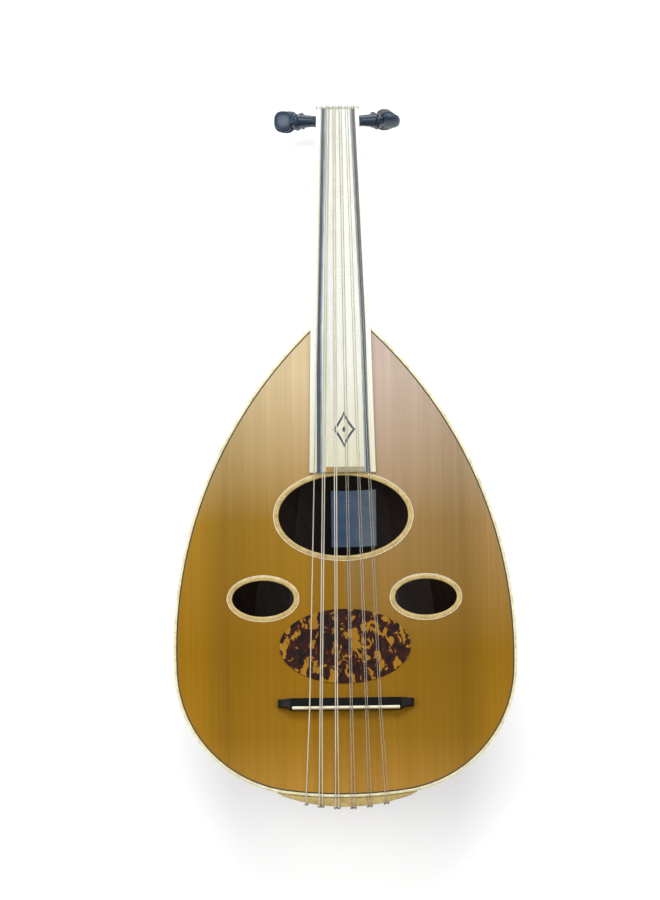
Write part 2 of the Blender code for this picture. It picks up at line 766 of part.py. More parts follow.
def turned_mesh(profile, segments=14):
    """A solid of revolution about X, through (x, radius) points."""
    bm = bmesh.new()
    rings = []
    for x, radius in profile:
        turns = [2 * pi * i / segments for i in range(segments)]
        rings.append([bm.verts.new((x, radius * cos(turn), radius * sin(turn))) for turn in turns])
    for near, far in zip(rings, rings[1:]):
        for i in range(segments):
            j = (i + 1) % segments
            bm.faces.new((near[i], near[j], far[j], far[i]))
    bm.faces.new(rings[0])
    bm.faces.new(rings[-1])
    return mesh_from(bm)


def paddle_mesh(centre_x):
    """The flat oval head that the fingers turn, its edge thinner than its middle."""
    bm = bmesh.new()
    bmesh.ops.create_cone(
        bm, cap_ends=True, segments=18, depth=2 * PADDLE_HALF_THICKNESS,
        radius1=PADDLE_HALF_WIDTH, radius2=PADDLE_HALF_WIDTH,
    )
    rim = [edge for edge in bm.edges if abs(edge.verts[0].co.z - edge.verts[1].co.z) < 1e-6]
    bmesh.ops.bevel(bm, geom=rim, offset=2.4 * MM, segments=2, profile=0.5, affect="EDGES")
    oval = Matrix.Diagonal((PADDLE_HALF_LENGTH / PADDLE_HALF_WIDTH, 1, 1, 1))
    bmesh.ops.transform(bm, matrix=Matrix.Translation((centre_x, 0, 0)) @ oval, verts=bm.verts)
    return mesh_from(bm)


def make_pegs():
    for number in range(1, PEG_COUNT + 1):
        t = peg_t(number)
        side = peg_side(number)
        cheek = box_half_width(t)
        s, z = pegbox_point(t, peg_n(number))
        axis = new_empty(f"peg_{number:02d}_axis", (0, s, z), FRAME)
        axis.rotation_euler = (0, 0, 0 if side > 0 else pi)
        peg = add_piece(
            f"peg_{number:02d}", turned_mesh(peg_profile(-cheek - PEG_TIP_OVERHANG, cheek)), "ebony", axis,
        )
        centre_x = cheek + PEG_STEM_LENGTH + PADDLE_OVERLAP + PADDLE_HALF_LENGTH
        paddle = cutter(f"paddle_{number:02d}", paddle_mesh(centre_x))
        paddle.parent = axis
        paddle.rotation_euler = (radians(PEG_TURNS[number - 1]), 0, 0)
        cut(peg, paddle, "UNION")


# ---------------------------------------------------------------- bridge


def make_bridge():
    """A bar that the strings press on the face, and the bone saddle in the step along its tail edge."""
    low = FACE_Z + GAP
    middle = (BRIDGE_S[0] + BRIDGE_S[1]) / 2
    slide = new_empty("bridge_slide", (0, middle, low), FRAME)
    lip = SADDLE_HALF_LENGTH + 1.2 * MM
    step_half = SADDLE_HALF_LENGTH + GAP
    half = [(lip, BRIDGE_LIP_S), (lip + 5 * MM, BRIDGE_S[0]), (BRIDGE_HALF_LENGTH, BRIDGE_S[0] + 0.5 * MM)]
    half += [(BRIDGE_HALF_LENGTH, BRIDGE_S[1])]
    loop = [(x, s - middle) for x, s in half + [(-x, s) for x, s in reversed(half)]]
    base = add_piece("bridge_base", plate_mesh([loop], 0.0, BRIDGE_HEIGHT), "ebony", slide)

    step = cutter(
        "saddle_step",
        box_mesh(
            (-step_half, BRIDGE_LIP_S - middle - 3 * MM, SADDLE_SEAT_HEIGHT),
            (step_half, SADDLE_S[1] + GAP - middle, BRIDGE_HEIGHT + 5 * MM),
        ),
    )
    step.parent = slide
    cut(base, step)
    for side in (-1, 1):
        inner, outer = lip + 0.5 * MM, BRIDGE_HALF_LENGTH + 2 * MM
        knee = BRIDGE_HALF_LENGTH - 4 * MM
        ramp = [(side * inner, BRIDGE_HEIGHT + 0.1 * MM), (side * knee, BRIDGE_END_HEIGHT)]
        ramp += [(side * outer, BRIDGE_END_HEIGHT), (side * outer, 20 * MM), (side * inner, 20 * MM)]
        end = cutter(f"bridge_ramp_{side}", plate_mesh([ramp], -10 * MM, 10 * MM, upright=True))
        end.parent = slide
        cut(base, end)

    s_low, s_high = SADDLE_S[0] - middle, SADDLE_S[1] - middle
    seat = SADDLE_SEAT_HEIGHT + GAP
    crown = SADDLE_HEIGHT - GAP - 0.5 * MM
    section = [(s_low, seat), (s_high, seat), (s_high, crown), (s_high - 0.8 * MM, SADDLE_HEIGHT - GAP)]
    section += [(s_low + 0.8 * MM, SADDLE_HEIGHT - GAP), (s_low, crown)]
    sections = [[Vector((x, s, z)) for s, z in section] for x in (-SADDLE_HALF_LENGTH, SADDLE_HALF_LENGTH)]
    add_piece("bridge_saddle", loft_mesh(sections), "bone", slide)


# ---------------------------------------------------------------- strings


def course_places():
    """For each string: its course, and its x at the nut, the bridge and the tail."""
    places = []
    for course, (nut_x, bridge_x, tail_x) in enumerate(zip(NUT_COURSES, BRIDGE_COURSES, TAIL_COURSES)):
        sides = (0,) if course == 0 else (-1, 1)
        for side in sides:
            at_nut, at_bridge, at_tail = (side * gap for gap in PAIR_HALF_GAPS)
            places.append((course, nut_x + at_nut, bridge_x + at_bridge, tail_x + at_tail))
    return places


def string_route(number, nut_x, bridge_x, tail_x, radius):
    """From the hitch on the end clasp over the saddle and the nut to the front of the peg's shaft."""
    lift = GAP + radius
    top_s = clasp_outer(tail_x, 0.0)
    clasp_z = FACE_Z - CLASP_DROP
    saddle_s = (SADDLE_S[0] + SADDLE_S[1]) / 2
    saddle_z = FACE_Z + GAP + SADDLE_HEIGHT + radius
    peg = peg_t(number)
    inner = box_inner_half_width(peg) - 2.5 * MM
    peg_x = nut_x * min(1.0, inner / (abs(nut_x) + 0.1 * MM))
    front = peg_n(number) + peg_radius(peg_side(number) * peg_x) + 2 * GAP + radius
    peg_s, peg_z = pegbox_point(peg, front)
    nut_top = FACE_Z + NUT_HEIGHT
    return [
        (tail_x, clasp_outer(tail_x, 9 * MM) - lift - GAP, RIM_Z - 9 * MM),
        (tail_x, top_s - lift - GAP / 2, clasp_z - 0.5 * MM),
        (tail_x, top_s - 0.8 * lift, clasp_z + 0.8 * lift),
        (tail_x, top_s + 0.5 * MM, clasp_z + lift + GAP / 2),
        (tail_x, 0.8 * MM, FACE_Z + lift + GAP),
        (bridge_x, saddle_s, saddle_z),
        (nut_x, NUT_S - 1.2 * MM, nut_top + lift),
        (nut_x, NUT_S - 0.2 * MM, nut_top + lift - 0.5 * MM),
        (nut_x, NUT_S + lift + 0.2 * MM, nut_top - 1.3 * MM),
        (peg_x, peg_s, peg_z),
    ]


def make_strings():
    for number, (course, nut_x, bridge_x, tail_x) in enumerate(course_places(), start=1):
        radius = STRING_RADII[course]
        route = string_route(number, nut_x, bridge_x, tail_x, radius)
        wound = course < 3
        add_piece(f"string_{number:02d}", rod_mesh(route, radius), "wound_string" if wound else "nylon")


def main():
    make_soundboard()
    make_rings()
    make_edge_binding()
    make_guard()
    make_braces()
    make_ribs()
    make_end_clasp()
    make_tail_block()
    make_neck_block()
    make_neck()
    make_fingerboard()
    make_nut()
    make_pegbox()
    make_pegs()
    make_bridge()
    make_strings()


main()
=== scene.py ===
"""The looks of an oud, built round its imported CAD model.

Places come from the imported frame. "s" runs along the face from its tail edge, as y does, and a "turn"
runs round the bowl from its treble rim (0) over its lowest line to its bass rim (pi).
"""

from math import acos, asin, atan2, cos, hypot, pi, radians, sin, sqrt

import bmesh
import bpy
from mathutils import Matrix, Vector


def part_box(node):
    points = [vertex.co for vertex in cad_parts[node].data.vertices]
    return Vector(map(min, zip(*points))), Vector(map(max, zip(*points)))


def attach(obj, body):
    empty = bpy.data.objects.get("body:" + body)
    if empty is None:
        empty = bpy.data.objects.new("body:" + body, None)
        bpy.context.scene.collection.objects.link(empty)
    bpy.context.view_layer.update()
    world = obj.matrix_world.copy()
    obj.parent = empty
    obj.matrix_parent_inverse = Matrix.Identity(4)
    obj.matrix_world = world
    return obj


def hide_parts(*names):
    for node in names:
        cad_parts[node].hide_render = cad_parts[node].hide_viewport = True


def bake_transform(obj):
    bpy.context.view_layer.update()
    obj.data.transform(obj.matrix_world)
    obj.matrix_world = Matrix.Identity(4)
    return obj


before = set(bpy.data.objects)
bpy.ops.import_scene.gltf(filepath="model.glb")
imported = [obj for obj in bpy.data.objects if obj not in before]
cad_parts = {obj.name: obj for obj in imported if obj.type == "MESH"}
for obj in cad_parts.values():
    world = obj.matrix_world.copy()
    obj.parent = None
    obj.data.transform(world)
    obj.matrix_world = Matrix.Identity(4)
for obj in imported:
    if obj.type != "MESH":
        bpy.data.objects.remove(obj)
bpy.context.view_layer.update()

MM = 0.001
GAP = 0.3 * MM  # between neighbouring pieces, as in the CAD

# -------- sizes

# From the frame
FACE_LOW, FACE_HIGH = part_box("edge_binding")
TAIL_Y = FACE_LOW.y
BODY_LENGTH = FACE_HIGH.y - FACE_LOW.y
HALF_WIDTH = FACE_HIGH.x
FACE_Z = FACE_HIGH.z
RIM_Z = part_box("rib_01")[1].z
NUT_LOW, NUT_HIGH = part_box("nut")
NUT_S = NUT_HIGH.y - TAIL_Y
NUT_HALF_WIDTH = 21.5 * MM
BOARD_LOW, BOARD_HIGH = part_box("fingerboard")
BOARD_START_S = BOARD_LOW.y - TAIL_Y
BOARD_END_S = BOARD_HIGH.y - TAIL_Y
GUARD_LOW, GUARD_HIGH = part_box("plectrum_guard")
SADDLE_LOW, SADDLE_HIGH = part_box("bridge_saddle")

# Outline of the face
WIDEST_S = 148 * MM
JOINT_HALF_WIDTH = 30 * MM
TAIL_RADIUS = 420 * MM
HIP_RADIUS = 129 * MM
SIDE_RADIUS = ((BODY_LENGTH - WIDEST_S) ** 2 + (HALF_WIDTH - JOINT_HALF_WIDTH) ** 2) / (
    2 * (HALF_WIDTH - JOINT_HALF_WIDTH)
)

# Bowl
RIB_COUNT = 13
RIB_THICKNESS = 3 * MM
RIB_ROUNDNESS = 0.5  # 0 leaves each rib flat across, 1 makes the bowl round
STRINGER_WIDTH = 1.1 * MM
DEPTH_RATIO = 1.06
TAIL_TUCK = 0.17
RIB_TIP_HALF_WIDTH = 40 * MM
FLAT_HALF_ANGLE = radians(2.4)
RIB_ANGLE = pi / RIB_COUNT

# Face
HOLES = ("main", "bass", "treble")
BINDING_WIDTH = 2.8 * MM
BINDING_THICKNESS = 2 * MM
RIM_LINE_WIDTH = 1.3 * MM
RING_WIDTH = 4.7 * MM
RING_THICKNESS = 1.2 * MM
BOARD_HALF_WIDTHS = (33.2 * MM, 30.2 * MM, NUT_HALF_WIDTH)
ROUND_STEPS = 128  # points round each hole and the guard

# The fingerboard's stripes: finish, side, how far in from the edge at the hole and at the nut, width
STRIPES = {
    "bass_stripe_dark": ("black_line", -1, 7.4 * MM, 4.8 * MM, 3.8 * MM),
    "bass_stripe_grey": ("grey_line", -1, 11.2 * MM, 8.6 * MM, 1.5 * MM),
    "treble_stripe_grey": ("grey_line", 1, 11.2 * MM, 9.2 * MM, 1.6 * MM),
    "treble_stripe_dark": ("black_line", 1, 9.6 * MM, 7.6 * MM, 3.7 * MM),
}

# The star inlay
STAR_X = 2 * MM
STAR_S = 372 * MM
STAR_HALF_SIZE = (11.5 * MM, 19 * MM)
STAR_INNER_HALF_SIZE = (8.9 * MM, 15.6 * MM)
STAR_DOT_HALF_SIZE = (1.8 * MM, 3 * MM)

# End clasp
CLASP_HALF_WIDTH = 69 * MM
CLASP_BULGE = 7.6 * MM
CLASP_EDGE = 1.2 * MM
CLASP_DEPTH = 50 * MM
CLASP_TOP_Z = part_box("end_clasp")[1].z

# Neck
NECK_NUT_DEPTH = 22 * MM
NECK_CUT_SLOPE = 1.1

# Pegs
PEGBOX_BEND = radians(75)
PEG_COUNT = 11
BASS_PEGS = 6
PEG_HEAD_RADIUS = 4.4 * MM
PEG_TIP_RADIUS = 3.3 * MM
PEG_TIP_OVERHANG = 2 * MM
PEG_REACH = 22 * MM
PEG_STEM_LENGTH = 23.3 * MM
PADDLE_HALF_LENGTH = 9.4 * MM
PADDLE_HALF_WIDTH = 11.8 * MM
PADDLE_HALF_THICKNESS = 4 * MM
PADDLE_OVERLAP = 2.6 * MM
PADDLE_SQUARENESS = 0.78  # 1 is an oval, less is squarer
PEG_TURNS = [8, 50, -35, 72, 20, -60, 40, -25, 65, -78, 80]  # degrees
# In mm: how far out from the cheek and from the stem's end, and the radius there
PEG_BEAD = [(1.7, 4.9), (2.6, 5.4), (3.6, 5.3), (4.4, 4.8), (8, 4.7), (12, 5.1)]
PEG_COLLAR = [(-3.4, 5.9), (-3.0, 7.4), (-2.4, 8.1), (-1.2, 8.5), (0.1, 8.2), (0.8, 6.8), (1.5, 4.8)]

# Strings
NUT_COURSES = [-16.2 * MM, -9.8 * MM, -3.5 * MM, 2.8 * MM, 9.1 * MM, 15.4 * MM]
BRIDGE_COURSES = [-35.8 * MM, -24.6 * MM, -9.4 * MM, 5.2 * MM, 20.2 * MM, 33.6 * MM]
TAIL_COURSES = [-40.4 * MM, -26 * MM, -10 * MM, 6 * MM, 22 * MM, 38.5 * MM]
PAIR_HALF_GAPS = (1.2 * MM, 1 * MM, 1.6 * MM)
STRING_RADII = [0.6 * MM, 0.55 * MM, 0.5 * MM, 0.45 * MM, 0.4 * MM, 0.38 * MM]
WOUND_COURSES = 3
CHEEK_THICKNESS = 4.5 * MM  # of the pegbox
HITCH_DEPTH = 9.6 * MM  # of the pins below the bowl's rim
HITCH_RADIUS = 0.9 * MM
HITCH_LENGTH = 4 * MM
HITCH_SUNK = 1 * MM  # how far each pin starts inside the clasp

# Label
LABEL_S = (287.5 * MM, 341.5 * MM)
LABEL_X = (-12 * MM, 34 * MM)

# Camera
CAMERA_PLACE = (-0.0123, -1.1670, 4.6808)
CAMERA_LEAN = radians(14.25)
CAMERA_ROLL = radians(-0.8)
CAMERA_LENS = 185.8  # mm, on a sensor 36 mm wide


# -------- camera, light and floor


def make_camera():
    """Above the tail, looking up the face."""
    camera = bpy.data.cameras.new("camera")
    camera.sensor_width = 36
    camera.lens = CAMERA_LENS
    obj = bpy.data.objects.new("camera", camera)
    obj.matrix_world = (
        Matrix.Translation(CAMERA_PLACE)
        @ Matrix.Rotation(CAMERA_LEAN, 4, "X")
        @ Matrix.Rotation(CAMERA_ROLL, 4, "Z")
    )
    camera.clip_end = 50
    bpy.context.scene.collection.objects.link(obj)
    bpy.context.scene.camera = obj


def area_light(name, location, target, size, power, colour=(1, 1, 1)):
    """A soft light of this many watts that faces the target."""
    light = bpy.data.lights.new(name, "AREA")
    light.shape = "RECTANGLE"
    light.size, light.size_y = size
    light.energy = power
    light.color = colour
    obj = bpy.data.objects.new(name, light)
    obj.location = location
    obj.rotation_euler = (Vector(target) - Vector(location)).to_track_quat("-Z", "Y").to_euler()
    bpy.context.scene.collection.objects.link(obj)


def make_light():
    world = bpy.data.worlds.new("studio")
    world.use_nodes = True
    background = world.node_tree.nodes["Background"]
    background.inputs["Color"].default_value = (1, 1, 1, 1)
    background.inputs["Strength"].default_value = 0.36
    bpy.context.scene.world = world
    bpy.context.scene.view_settings.view_transform = "Standard"
    area_light("key", (0, 1.85, 2.7), (0, 0.25, 0.15), (2.2, 1.3), 80, (0.95, 0.97, 1.0))
    area_light("bass_side", (-2.4, -0.2, 2.2), (0, 0, 0.1), (1.8, 3.0), 58)
    area_light("treble_side", (2.4, -0.4, 2.2), (0, 0, 0.1), (1.8, 3.0), 48)


def stage_object(name, bm):
    """The floor or the backdrop, in the material of the same name."""
    mesh = bpy.data.meshes.new(name)
    bm.to_mesh(mesh)
    bm.free()
    mesh.materials.append(MATERIALS[name])
    obj = bpy.data.objects.new(name, mesh)
    bpy.context.scene.collection.objects.link(obj)
    return obj


def make_floor():
    bm = bmesh.new()
    bmesh.ops.create_grid(bm, x_segments=1, y_segments=1, size=12)
    stage_object("floor", bm).location.z = -0.2 * MM


def make_backdrop():
    """A white dome behind everything, which only the camera sees and which lights nothing."""
    bm = bmesh.new()
    bmesh.ops.create_icosphere(bm, subdivisions=4, radius=11)
    dome = stage_object("backdrop", bm)
    dome.visible_diffuse = False
    dome.visible_glossy = False
    dome.visible_transmission = False
    dome.visible_shadow = False


# -------- materials


def srgb(red, green, blue):
    """A colour from its 0 to 255 display values."""
    values = (v / 255 for v in (red, green, blue))
    return (*(v / 12.92 if v <= 0.04045 else ((v + 0.055) / 1.055) ** 2.4 for v in values), 1.0)


class Surface:
    """A material and short ways to build what feeds its shader."""

    def __init__(self, name, roughness=0.4, **shader_values):
        self.material = bpy.data.materials.new(name)
        self.material.use_nodes = True
        self.tree = self.material.node_tree
        self.shader = self.tree.nodes["Principled BSDF"]
        self.shader.inputs["Roughness"].default_value = roughness
        for label, value in shader_values.items():
            self.shader.inputs[label.replace("_", " ")].default_value = value

    def node(self, kind, inputs=(), **settings):
        made = self.tree.nodes.new("ShaderNode" + kind)
        for label, value in settings.items():
            setattr(made, label, value)
        for label, value in dict(inputs).items():
            if isinstance(value, bpy.types.NodeSocket):
                self.tree.links.new(value, made.inputs[label])
            else:
                made.inputs[label].default_value = value
        return made

    def place(self, scale=(1, 1, 1), shift=(0, 0, 0), attribute=None, source=None):
        """Coordinates in metres, stretched by scale. An attribute follows the piece's own shape."""
        if source is None and attribute:
            source = self.node("Attribute", attribute_name=attribute).outputs["Vector"]
        elif source is None:
            source = self.node("TexCoord").outputs["Object"]
        return self.node("Mapping", {"Vector": source, "Scale": scale, "Location": shift}).outputs[0]

    def noise(self, vector, size, detail=3.0, roughness=0.5, distortion=0.0):
        """Noise from 0 to 1 whose blotches are about this size."""
        values = {"Vector": vector, "Scale": 1 / size, "Detail": detail}
        values |= {"Roughness": roughness, "Distortion": distortion}
        return self.node("TexNoise", values).outputs["Fac"]

    def ramp(self, factor, *stops):
        """Colours at places from 0 to 1."""
        made = self.node("ValToRGB", {"Fac": factor})
        elements = made.color_ramp.elements
        while len(elements) < len(stops):
            elements.new(0.5)
        for element, (position, colour) in zip(elements, stops):
            element.position = position
            element.color = colour
        return made.outputs["Color"]

    def scaled(self, value, low, high, to_low=0.0, to_high=1.0, smooth=False):
        values = {"Value": value, "From Min": low, "From Max": high, "To Min": to_low, "To Max": to_high}
        kind = "SMOOTHSTEP" if smooth else "LINEAR"
        return self.node("MapRange", values, interpolation_type=kind).outputs["Result"]

    def math(self, operation, first, second=0.0):
        made = self.node("Math", operation=operation)
        for socket, value in zip(made.inputs, (first, second)):
            if isinstance(value, bpy.types.NodeSocket):
                self.tree.links.new(value, socket)
            else:
                socket.default_value = value
        return made.outputs[0]

    def mix(self, factor, first, second, blend="MIX"):
        made = self.node("Mix", data_type="RGBA", blend_type=blend)
        for index, value in ((0, factor), (6, first), (7, second)):
            if isinstance(value, bpy.types.NodeSocket):
                self.tree.links.new(value, made.inputs[index])
            else:
                made.inputs[index].default_value = value
        return made.outputs[2]

    def shares(self, first, second, second_share):
        """The first and the second added up, each by its share of the whole."""
        first_part = self.math("MULTIPLY", first, 1 - second_share)
        return self.math("ADD", first_part, self.math("MULTIPLY", second, second_share))

    def toned(self, colour, red, green, blue):
        """A colour with each of its channels multiplied."""
        tone = self.node("CombineColor", {"Red": red, "Green": green, "Blue": blue}).outputs[0]
        return self.mix(1.0, colour, tone, "MULTIPLY")

    def axis(self, vector, name):
        return self.node("SeparateXYZ", {"Vector": vector}).outputs[name]

    def feed(self, label, socket):
        self.tree.links.new(socket, self.shader.inputs[label])

    def bump(self, height, depth, strength=1.0):
        values = {"Height": height, "Distance": depth, "Strength": strength}
        self.feed("Normal", self.node("Bump", values).outputs["Normal"])


def wood(name, dark, light, stretch=(1, 0.02, 1), band=18 * MM, line=1.2 * MM, shine=0.35,
         attribute=None, contrast=0.5, coat=0.3, depth=0.03 * MM):
    """Wood with broad bands, finer lines and fibres, all drawn out along the grain."""
    made = Surface(name, Coat_Weight=coat, Coat_Roughness=0.18)
    along = made.place(stretch, attribute=attribute)
    bands = made.noise(along, band, detail=2)
    lines = made.noise(along, line, detail=3, roughness=0.6)
    fibres = made.noise(along, line / 5, detail=2, roughness=0.7)
    colour = made.ramp(made.shares(bands, lines, contrast), (0.36, dark), (0.64, light))
    pores = made.scaled(fibres, 0.28, 0.42, 0.72, 1.0)
    made.feed("Base Color", made.toned(colour, pores, pores, pores))
    made.feed("Roughness", made.scaled(fibres, 0.3, 0.7, shine + 0.1, shine - 0.05))
    made.bump(made.math("ADD", lines, fibres), depth)
    return made.material


# The two halves' colours, from the tail (0) to the neck (1). Their pale, greyer stops towards the neck
# are partly the wood's own tone and partly a painted sheen.
SPRUCE_BASS = {0.03: (146, 107, 34), 0.13: (127, 90, 10), 0.3: (119, 83, 1),
               0.58: (126, 93, 20), 0.9: (176, 157, 117)}
SPRUCE_TREBLE = {0.03: (138, 100, 36), 0.13: (119, 85, 12), 0.3: (113, 80, 4),
                 0.58: (126, 99, 54), 0.9: (164, 146, 127)}


def spruce():
    """Bookmatched: the grain of one half mirrors the other's, and the two differ a little in tone.

    It is palest towards the neck, partly its own tone and partly a painted sheen, and has a darker lane
    between its middle and each edge.
    """
    made = Surface("spruce", Specular_IOR_Level=0.09)
    spot = made.place()
    x, y = made.axis(spot, "X"), made.axis(spot, "Y")
    aside = made.math("ABSOLUTE", x)
    mirrored = made.node("CombineXYZ", {"X": aside, "Y": y}).outputs[0]
    drift = made.noise(made.place((1, 0.25, 1), source=mirrored), 90 * MM, detail=1)
    grain = made.place((1, 0.006, 1), source=mirrored)
    bands = made.noise(grain, 26 * MM, detail=3, roughness=0.55)
    rings = made.noise(grain, 2.6 * MM, detail=4, roughness=0.75)
    fibres = made.noise(made.place((1, 0.05, 1)), 0.5 * MM, detail=2)
    height = made.scaled(y, TAIL_Y, TAIL_Y + BODY_LENGTH)
    bass = made.ramp(height, *((place, srgb(*colour)) for place, colour in SPRUCE_BASS.items()))
    treble = made.ramp(height, *((place, srgb(*colour)) for place, colour in SPRUCE_TREBLE.items()))
    side = made.scaled(x, -0.2 * MM, 0.2 * MM)
    apart = made.scaled(height, 0.0, 0.35, 0.45, 1.0)
    middle = made.mix(0.5, bass, treble)
    colour = made.mix(apart, middle, made.mix(side, bass, treble))
    tone = made.scaled(bands, 0.3, 0.7, 0.87, 1.10)
    tone = made.math("ADD", tone, made.scaled(rings, 0.25, 0.75, -0.13, 0.13))
    tone = made.math("ADD", tone, made.scaled(drift, 0.3, 0.7, -0.04, 0.04))
    tone = made.math("ADD", tone, made.scaled(aside, 60 * MM, 118 * MM, 0.15, -0.05, smooth=True))
    tone = made.math("ADD", tone, made.scaled(aside, 118 * MM, 158 * MM, 0.0, 0.4))
    made.feed("Base Color", made.toned(colour, tone, tone, made.math("POWER", tone, 1.6)))
    made.feed("Roughness", made.scaled(rings, 0.3, 0.7, 0.46, 0.36))
    made.bump(made.math("ADD", rings, made.math("MULTIPLY", fibres, 0.3)), 0.03 * MM)
    return made.material


def light_maple(name, dark, middle, light):
    """Pale maple with short flecks."""
    made = Surface(name, Coat_Weight=0.25, Coat_Roughness=0.2)
    spot = made.place()
    clouds = made.noise(spot, 9 * MM, detail=3, roughness=0.6)
    flecks = made.noise(made.place((1, 0.45, 1)), 1.6 * MM, detail=3, roughness=0.7)
    tone = made.shares(clouds, flecks, 0.5)
    made.feed("Base Color", made.ramp(tone, (0.34, dark), (0.5, middle), (0.66, light)))
    made.feed("Roughness", made.scaled(flecks, 0.3, 0.7, 0.42, 0.3))
    made.bump(flecks, 0.03 * MM)
    return made.material


def fingerboard_maple():
    """Pale maple, slightly grey, with flecks across its grain and long faint streaks, yellower near the
    hole and paler further up.
    """
    made = Surface("fingerboard_maple", Coat_Weight=0.3, Coat_Roughness=0.22)
    streaks = made.noise(made.place((1, 0.012, 1)), 5 * MM, detail=3, roughness=0.6)
    flecks = made.noise(made.place((1, 0.6, 1)), 1.7 * MM, detail=2, roughness=0.6)
    spots = made.noise(made.place((1, 0.5, 1)), 12 * MM, detail=2)
    tone = made.math("ADD", made.math("MULTIPLY", streaks, 0.35), made.math("MULTIPLY", flecks, 0.45))
    tone = made.math("ADD", tone, made.math("MULTIPLY", spots, 0.2))
    dark, middle, light = srgb(194, 193, 178), srgb(214, 214, 205), srgb(225, 226, 222)
    colour = made.ramp(tone, (0.3, dark), (0.48, middle), (0.66, light))
    # Yellower over the board's first 150 mm from the hole, paler from there up.
    yellower_near_hole = made.mix(0.6, colour, srgb(186, 180, 138))
    height = made.scaled(made.axis(made.place(), "Y"), BOARD_LOW.y, BOARD_LOW.y + 150 * MM, smooth=True)
    made.feed("Base Color", made.mix(height, yellower_near_hole, colour))
    made.feed("Roughness", made.scaled(flecks, 0.3, 0.7, 0.42, 0.32))
    made.bump(made.math("ADD", streaks, flecks), 0.03 * MM)
    return made.material


def tortoiseshell():
    """Dark red-brown blotches that run together over clear amber."""
    made = Surface("tortoiseshell", 0.3, Specular_IOR_Level=0.2, Coat_Weight=0.08, Coat_Roughness=0.1)
    spot = made.place((1.15, 0.72, 1), (0.031, 0.012, 0))
    blotches = made.noise(spot, 8.5 * MM, detail=2.6, roughness=0.6, distortion=0.6)
    depth = made.noise(made.place((1, 0.8, 1)), 17 * MM, detail=2)
    amber = made.mix(depth, srgb(132, 92, 10), srgb(156, 112, 24))
    dark = made.mix(made.scaled(blotches, 0.5, 0.62), srgb(50, 13, 4), srgb(15, 5, 3))
    edge = made.scaled(blotches, 0.43, 0.465, smooth=True)
    made.feed("Base Color", made.mix(edge, amber, dark))
    made.bump(made.noise(made.place(), 6 * MM), 0.02 * MM)
    return made.material


def ebony(name, dark, light, specular, coat, grain_stretch, grain_size, cloud_size, rough):
    """Black wood, polished, with fine lines that barely show."""
    made = Surface(name, Specular_IOR_Level=specular, Coat_Weight=coat, Coat_Roughness=0.25)
    grain = made.noise(made.place((grain_stretch, 1, 1)), grain_size, detail=3, roughness=0.7)
    clouds = made.noise(made.place(), cloud_size, detail=2)
    made.feed("Base Color", made.ramp(made.shares(grain, clouds, 0.4), (0.35, dark), (0.65, light)))
    made.feed("Roughness", made.scaled(grain, 0.3, 0.7, rough, 0.28))
    made.bump(grain, 0.02 * MM)
    return made.material


def bone(name, dark, light):
    """Polished bone with fine yellowed pores."""
    made = Surface(name, Coat_Weight=0.3, Coat_Roughness=0.15)
    clouds = made.noise(made.place((0.3, 1, 1)), 4 * MM, detail=3)
    pores = made.noise(made.place((0.4, 1, 1)), 0.5 * MM, detail=2, roughness=0.7)
    colour = made.ramp(clouds, (0.3, dark), (0.7, light))
    yellowing = made.scaled(pores, 0.3, 0.42, 0.35, 0.0)
    made.feed("Base Color", made.mix(yellowing, colour, srgb(170, 150, 112)))
    made.feed("Roughness", made.scaled(pores, 0.3, 0.7, 0.4, 0.26))
    made.bump(pores, 0.02 * MM)
    return made.material


def wound_string():
    """A core wrapped with fine silvered wire."""
    made = Surface("wound_string", roughness=0.45, Metallic=0.25)
    turns = made.node("TexWave", {"Vector": made.place(), "Scale": 0.314 / (0.35 * MM)},
                      wave_type="BANDS", bands_direction="Y").outputs["Fac"]
    patina = made.noise(made.place((1, 0.1, 1)), 12 * MM, detail=2)
    made.feed("Base Color", made.ramp(patina, (0.3, srgb(158, 154, 134)), (0.7, srgb(190, 186, 168))))
    made.bump(turns, 0.04 * MM, 0.6)
    return made.material


def nylon():
    """Clear nylon, which shows mostly as a pale line."""
    made = Surface("nylon", roughness=0.15, Transmission_Weight=0.72, IOR=1.16)
    clouds = made.noise(made.place((1, 0.05, 1)), 15 * MM, detail=2)
    made.feed("Base Color", made.ramp(clouds, (0.3, srgb(188, 182, 164)), (0.7, srgb(208, 204, 190))))
    made.bump(clouds, 0.01 * MM)
    return made.material


def paper():
    """A bluish paper label with a painted glow: it gives off a little light of its own, bluer and dimmer
    on its bass side, greyer and brighter on its treble side.
    """
    made = Surface("paper", roughness=0.75)
    clouds = made.noise(made.place(), 14 * MM, detail=3)
    fibres = made.noise(made.place(), 0.7 * MM, detail=3, roughness=0.7)
    made.feed("Base Color", made.ramp(clouds, (0.3, srgb(150, 182, 212)), (0.7, srgb(206, 226, 240))))
    # Painted light: the label glows, and the glow is bluer and dimmer on the bass side, greyer and
    # brighter on the treble side.
    across = made.scaled(made.axis(made.place(), "X"), 0.0, 30 * MM, smooth=True)
    made.feed("Emission Color", made.mix(across, srgb(112, 150, 205), srgb(176, 190, 206)))
    made.shader.inputs["Emission Strength"].default_value = 0.15
    made.bump(fibres, 0.03 * MM)
    return made.material


STAGE_WHITES = (0.3, (0.93, 0.93, 0.93, 1)), (0.7, (0.95, 0.95, 0.95, 1))


def floor_white():
    """White paper that glows a little, and more far from the oud, so that it runs out to white."""
    made = Surface("floor_white", roughness=0.9)
    made.shader.inputs["Specular IOR Level"].default_value = 0.0
    made.feed("Base Color", made.ramp(made.noise(made.place(), 0.6, detail=1), *STAGE_WHITES))
    distance = made.node("VectorMath", {0: made.place()}, operation="LENGTH").outputs["Value"]
    glow = made.scaled(distance, 0.35, 3.5, 0.3, 1.0, smooth=True)
    made.feed("Emission Color", made.ramp(glow, (0.0, (0, 0, 0, 1)), (1.0, (1, 1, 1, 1))))
    made.shader.inputs["Emission Strength"].default_value = 0.62
    return made.material


